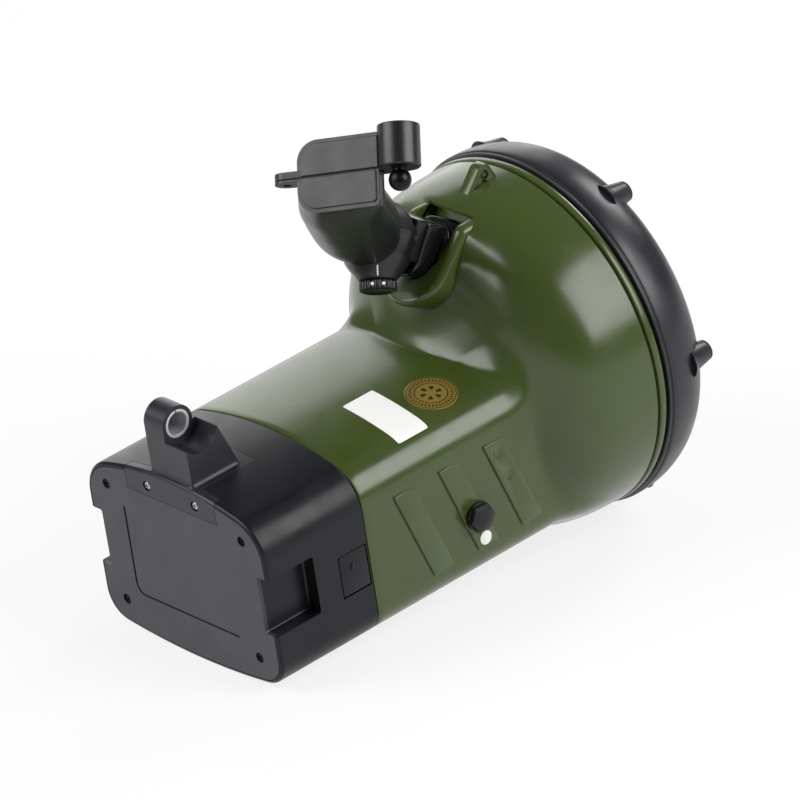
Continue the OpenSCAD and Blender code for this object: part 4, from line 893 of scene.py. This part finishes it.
for side, word in ((1, "right"), (-1, "left")):
    half = body if side < 0 else bpy.data.objects.new("handle_half", body.data.copy())
    if side > 0:
        bpy.context.scene.collection.objects.link(half)
    keep = sorted((side * parting, side * 90))
    worked(half, "INTERSECT", brick("half_room", (keep[0], -60, 0), (keep[1], 260, 220), handle))
    reach = (parting, 4.4) if side > 0 else (-1.8, -parting)
    strap_outline = np.vstack([arc(tab_at[0], tab_at[1], 7, math.degrees(lean) * -1, 180 - math.degrees(lean), 24),
                               [tab_at - 16 * lean_up + 6 * lean_out, tab_at - 16 * lean_up - 10 * lean_out]])
    strap = slab("strap_tab", strap_outline, *reach, "x", handle)
    worked(strap, "DIFFERENCE", turned("strap_hole", [(0, -8), (2.5, -8), (2.5, 8), (0, 8)], across(*tab_at, handle), 40))
    wide = grip_half_w + 0.35
    plate_outline = [(parting, 59.3), *arc(wide - 12.3, 47, 12.3, 90, 0, 12)]
    panel_outline = [(parting + 0.5, 57), *arc(wide - 12.3, 47, 10, 90, 0, 12)]
    if side > 0:
        plate_outline += [(wide, 3), (parting, 3)]
        panel_outline += [(wide - 2.3, 10), (parting + 0.5, 10)]
        room = [turned("screw_room", [(0, grip_half_w - 5), (head_r + 0.4, grip_half_w - 5), (head_r + 0.4, grip_half_w + 4), (0, grip_half_w + 4)],
                       across(y, z, handle), 40) for y, z in grip_screws]
    else:
        plate_outline = [(-x, rise) for x, rise in plate_outline + [*arc(wide - 4.3, 13.6, 4.3, 0, -90, 8), (parting, 9.3)]]
        panel_outline = [(-x, rise) for x, rise in panel_outline + [*arc(wide - 4.3, 13.6, 2, 0, -90, 8), (parting + 0.5, 11.6)]]
        room = [turned("lug_room", [(0, -grip_half_w - 3), (11.8, -grip_half_w - 3), (11.8, 3), (0, 3)], across(catch_y, catch_z, handle), 64),
                turned("switch_room", [(0, dial_seat + 3), (7.3, dial_seat + 3), (7.3, -13.5), (0, -13.5)], across(dial_y, dial_z, handle), 48),
                turned("shaft_room", [(0, dial_seat - 3), (3.3, dial_seat - 3), (3.3, dial_seat + 4), (0, dial_seat + 4)], across(dial_y, dial_z, handle), 40)]
    worked(half, "DIFFERENCE", *room)
    plate = slab("end_plate", plate_outline, end_out - plate_t, end_out - panel_rise_end, "z", grip_end)
    panel = slab("end_panel", panel_outline, end_out - plate_t, end_out, "z", grip_end)
    if side < 0:
        worked(plate, "DIFFERENCE", turned("lug_clearance", [(0, -24), (11.8, -24), (11.8, 3), (0, 3)], across(catch_y, catch_z, handle), 64))
    extra = [eased(strap, 0.5), eased(panel, 0.45, 3)]
    if side > 0:
        web = [(parting, 3), (wide - 1.3, 3), (wide - 1.3, 16), (parting, 16)]
        worked(plate, "UNION", slab("barrel_web", web, -11, end_out - panel_rise_end, "z", grip_end))
        barrel_top = 24.6
        extra.append(turned("barrel", [(0, 0.4), (barrel_r - 0.7, 0.4), (barrel_r, 1.1), (barrel_r, barrel_top - 1.0), (barrel_r - 0.3, barrel_top - 0.3),
                                       (barrel_r - 1.0, barrel_top), (8.6, barrel_top), (8.2, barrel_top - 0.5), (0, barrel_top - 0.5)],
                            across(catch_y, catch_z, handle), 96))
    extra.append(eased(plate, 1.1, 4))
    halves[word] = levelled(gathered("handle_shell_" + word, [half] + extra))
grip_grey = moulded("handle_satin_plastic", tint(18, 19, 22), tint(25, 26, 30), (0.3, 0.4), 1400, 0.018, **{"Specular IOR Level": 0.5})
for word in halves:
    painted(halves[word], grip_grey)
    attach(halves[word], "handle")
    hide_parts("handle_" + word)
painted(nodes["ball_stud"], dark_steel)
painted(nodes["handle_screws"], dark_steel)
painted(nodes["swivel_bush"], brass)
painted(nodes["switch_module"], black_matt)

# Control dial: a small ribbed knob on the left of the hub, pressed on the switch shaft,
# with two white dots on its edge that are painted glints, and a white mark on the hub beside it.
dial_r, dial_h, dial_ribs = 11.0, 5.4, 24
dial_top = dial_seat - 0.4 - dial_h
turns = np.radians(np.arange(240) * 1.5)
ribs = 0.5 * np.clip(np.cos(turns * dial_ribs) * 1.6, -1, 1)


def dial_ring(x, r, depth):
    reach = r + ribs * depth
    return np.stack([np.full(turns.shape, x), dial_y + reach * np.cos(turns), dial_z + reach * np.sin(turns)], 1)


knob = ringed("dial_knob", [dial_ring(dial_top + 0.35, 0.2, 0), dial_ring(dial_top + 0.35, 7.2, 0), dial_ring(dial_top, 7.8, 0),
                            dial_ring(dial_top, dial_r - 1.4, 0), dial_ring(dial_top + 0.3, dial_r - 0.7, 0.3),
                            dial_ring(dial_top + 0.9, dial_r - 0.35, 0.7), dial_ring(dial_seat - 1.2, dial_r - 0.35, 0.7),
                            dial_ring(dial_seat - 0.7, dial_r - 0.2, 0), dial_ring(dial_seat - 0.4, dial_r - 0.4, 0)], handle)
shaft = turned("dial_shaft", [(0, dial_top + 2), (3.0, dial_top + 2), (3.0, -18), (0, -18)], across(dial_y, dial_z, handle), 40)
knob = gathered("dial_knob_ribbed", [knob, shaft])
painted(knob, black_gloss)
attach(knob, "dial")
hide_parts("control_dial")
# One white finish serves the hub's mark and the dial's painted glints.
mark_and_glint_white = moulded("white_mark_and_glint", tint(224, 224, 220), tint(240, 240, 238), (0.35, 0.5), 900, 0.01)
facing = math.radians(-168)
glint_x = (dial_top + dial_seat) / 2
# Two dots painted white on the dial's ribbed edge stand in for glints of light between its ribs.
glint_dots = []
for turn in (facing - 0.3, facing + 0.3):
    spot = handle @ Matrix.Translation((glint_x, dial_y, dial_z)) @ Matrix.Rotation(turn, 4, "X")
    glint_dots.append(turned("dial_glint_dot", [(0, dial_r - 1), (0.95, dial_r - 1), (0.95, dial_r + 0.1), (0.7, dial_r + 0.25), (0, dial_r + 0.3)], spot, 24))
glint_dots = gathered("dial_glint_dots", glint_dots)
painted(glint_dots, mark_and_glint_white)
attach(glint_dots, "dial")
tick_rows = []
for x in (-25.6, -24.3, -23, -21.7, -20.4):
    spot = Matrix.Translation((0, dial_y, dial_z)) @ Matrix.Rotation(facing, 4, "X")
    outside, inside = handle @ spot @ Vector((x, 40, 0)), handle @ spot @ Vector((x, 0, 0))
    met, landed, *rest = halves["left"].ray_cast(outside, inside - outside)
    far = (landed - inside).length / MM
    tick_rows.append([spot @ Vector((x, far + lift, wide)) for lift, wide in ((-1.2, -0.4), (-1.2, 0.4), (0.25, 0.4), (0.35, 0), (0.25, -0.4))])
tick = ringed("hub_tick", tick_rows, handle)
painted(tick, mark_and_glint_white)
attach(tick, "handle")

# Stickers: a blank white label and a round gilt seal with plain rings, laid by hand on the
# tail's arched top.
quarter = np.radians(np.arange(0, 80, 0.5))


def top_at(x, y):
    """Height of the housing's outside over a place near the top."""
    reach = housing_reach(y, quarter)
    return float(np.interp(x, reach * np.sin(quarter), reach * np.cos(quarter)))


def laid(name, spots, thick=0.22):
    """A thin sheet that follows the arched top: an outline of X and Y as a fan of rings."""
    middle = np.mean(spots, axis=0)
    rows = []
    for share, lift in [(1.0, -0.3), (1.0, thick * 0.6), (0.99, thick)] + [(share, thick) for share in np.linspace(0.95, 0.02, 20)]:
        ring = middle + (np.asarray(spots) - middle) * share
        rows.append([(x, y, top_at(x, y) + lift) for x, y in ring])
    return ringed(name, rows)


def rounded_corners(low, high, r):
    """A rectangle with rounded corners and points all along its sides."""
    spots = []
    for cx, cy, start in ((high[0] - r, high[1] - r, 0), (low[0] + r, high[1] - r, 90), (low[0] + r, low[1] + r, 180), (high[0] - r, low[1] + r, 270)):
        spots += arc(cx, cy, r, start, start + 90, 5).tolist()
    dense = []
    for a, b in zip(spots, spots[1:] + spots[:1]):
        count = max(1, int(math.dist(a, b) / 1.5))
        dense += [(a[0] + (b[0] - a[0]) * k / count, a[1] + (b[1] - a[1]) * k / count) for k in range(count)]
    return dense


label = laid("blank_label", rounded_corners((20, 116.1), (66.2, 139.1), 1.2))
paper = moulded("label_paper", tint(240, 239, 237), tint(246, 245, 243), (0.32, 0.45), 800, 0.01)
painted(label, paper)
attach(label, "housing")

seal_x, seal_y, seal_r = 46.3, 160.5, 15.3
seal = laid("gilt_seal", [(seal_x + seal_r * math.cos(t), seal_y + seal_r * math.sin(t)) for t in np.linspace(0, 2 * math.pi, 72, endpoint=False)])
gilt, wire = new_finish("gilt_foil")
place = wire.node("ShaderNodeTexCoord", output="Object")
centre = lamp @ Vector((seal_x, seal_y, top_at(seal_x, seal_y)))
off_centre = wire.node("ShaderNodeVectorMath", {"operation": "DISTANCE"}, {0: place, 1: centre}, "Value")
far = off_centre * (1 / (seal_r * MM))
crinkle = wire.node("ShaderNodeTexNoise", {}, {"Vector": place, "Scale": 600, "Detail": 3})
apart = wire.node("ShaderNodeVectorMath", {"operation": "SUBTRACT"}, {0: place, 1: centre})
split = [wire.node("ShaderNodeSeparateXYZ", {}, {"Vector": apart}, axis) for axis in ("X", "Y")]
ticks = wire.maths("SINE", wire.maths("ARCTAN2", split[1], split[0]) * 36).clear_of(-0.1, 0.1)
band = far.clear_of(0.72, 0.74) - far.clear_of(0.86, 0.88)
petals = wire.maths("SINE", wire.maths("ARCTAN2", split[1], split[0]) * 6).clear_of(0.1, 0.3) * (far.clear_of(0.2, 0.22) - far.clear_of(0.42, 0.44))
rings = (far.clear_of(0.92, 0.93) - far.clear_of(0.96, 0.97)) + (far.clear_of(0.6, 0.61) - far.clear_of(0.65, 0.66)) + band * ticks + petals
colour = rings.mixed(tint(142, 120, 54), tint(54, 46, 20))
body = wire.node("ShaderNodeBsdfPrincipled", {}, {
    "Base Color": colour, "Roughness": 0.25 + crinkle * 0.2, "Metallic": 0.3,
    "Normal": wire.node("ShaderNodeBump", {}, {"Height": crinkle + rings * 0.6, "Distance": 0.03 * MM})})
wire.node("ShaderNodeOutputMaterial", {}, {"Surface": body})
painted(seal, gilt)
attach(seal, "housing")

# Studio: a plain white floor that keeps the lamp's shadow, soft boxes at both sides and
# above, and a long lens from behind and to the right.
floor_half = 14.0
floor = shaped("studio_floor", [(x * floor_half, y * floor_half, 0) for x, y in ((-1, -1), (1, -1), (1, 1), (-1, 1))],
               [(0, 1, 2, 3)], Matrix.Identity(4))
paper_white, wire = new_finish("floor_paper")
place = wire.node("ShaderNodeTexCoord", output="Object")
mottle = wire.node("ShaderNodeTexNoise", {}, {"Vector": place, "Scale": 3, "Detail": 3})
ray = wire.node("ShaderNodeLightPath", output="Is Camera Ray")
mirrored = wire.node("ShaderNodeLightPath", output="Is Glossy Ray")
through = wire.node("ShaderNodeLightPath", output="Is Transmission Ray")
seen = (ray + mirrored + through).clear_of(0, 1)
lit = wire.node("ShaderNodeBsdfDiffuse", {}, {"Color": mottle.mixed(tint(242, 242, 242), tint(246, 246, 246))})
glow = wire.node("ShaderNodeEmission", {}, {"Color": (1, 1, 1, 1), "Strength": 1.0})
sheet = wire.node("ShaderNodeMixShader", {}, {0: seen * 0.8, 1: lit, 2: glow})
wire.node("ShaderNodeOutputMaterial", {}, {"Surface": sheet})
painted(floor, paper_white)

scene = bpy.context.scene
scene.view_settings.view_transform = "Standard"
sky = bpy.data.worlds.new("studio_sky")
scene.world = sky
sky.use_nodes = True
sky.node_tree.nodes.clear()
wire = Wire(sky.node_tree)
air = wire.node("ShaderNodeBackground", {}, {"Color": (1, 1, 1, 1), "Strength": 0.16})
wire.node("ShaderNodeOutputWorld", {}, {"Surface": air})

aim = Vector((0.0167, -0.1341, 0.1146))
for name, at, size, power in (("key_box", (-1.1, -2.5, 1.95), 2.2, 76), ("right_box", (2.25, 0.85, 1.7), 2.0, 72), ("left_box", (-2.45, 1.4, 1.0), 2.0, 22), ("back_box", (-0.3, 2.4, 2.0), 1.1, 30)):
    light = bpy.data.lights.new(name, "AREA")
    light.shape, light.size, light.energy = "SQUARE", size, power
    box = bpy.data.objects.new(name, light)
    box.location = at
    box.rotation_euler = (aim - Vector(at)).to_track_quat("-Z", "Y").to_euler()
    scene.collection.objects.link(box)

camera = bpy.data.objects.new("photo_camera", bpy.data.cameras.new("photo_camera"))
camera.data.lens, camera.data.sensor_width = 362.88, 36.0
camera.data.clip_end = 60
distance = 4.637
right, up, ahead = Vector((0.667, 0.74245, -0.06233)), Vector((-0.26956, 0.31846, 0.9088)), Vector((-0.69459, 0.58937, -0.41254))
camera.matrix_world = Matrix.Translation(aim - ahead * distance) @ Matrix((right, up, -ahead)).transposed().to_4x4()
scene.collection.objects.link(camera)
scene.camera = camera
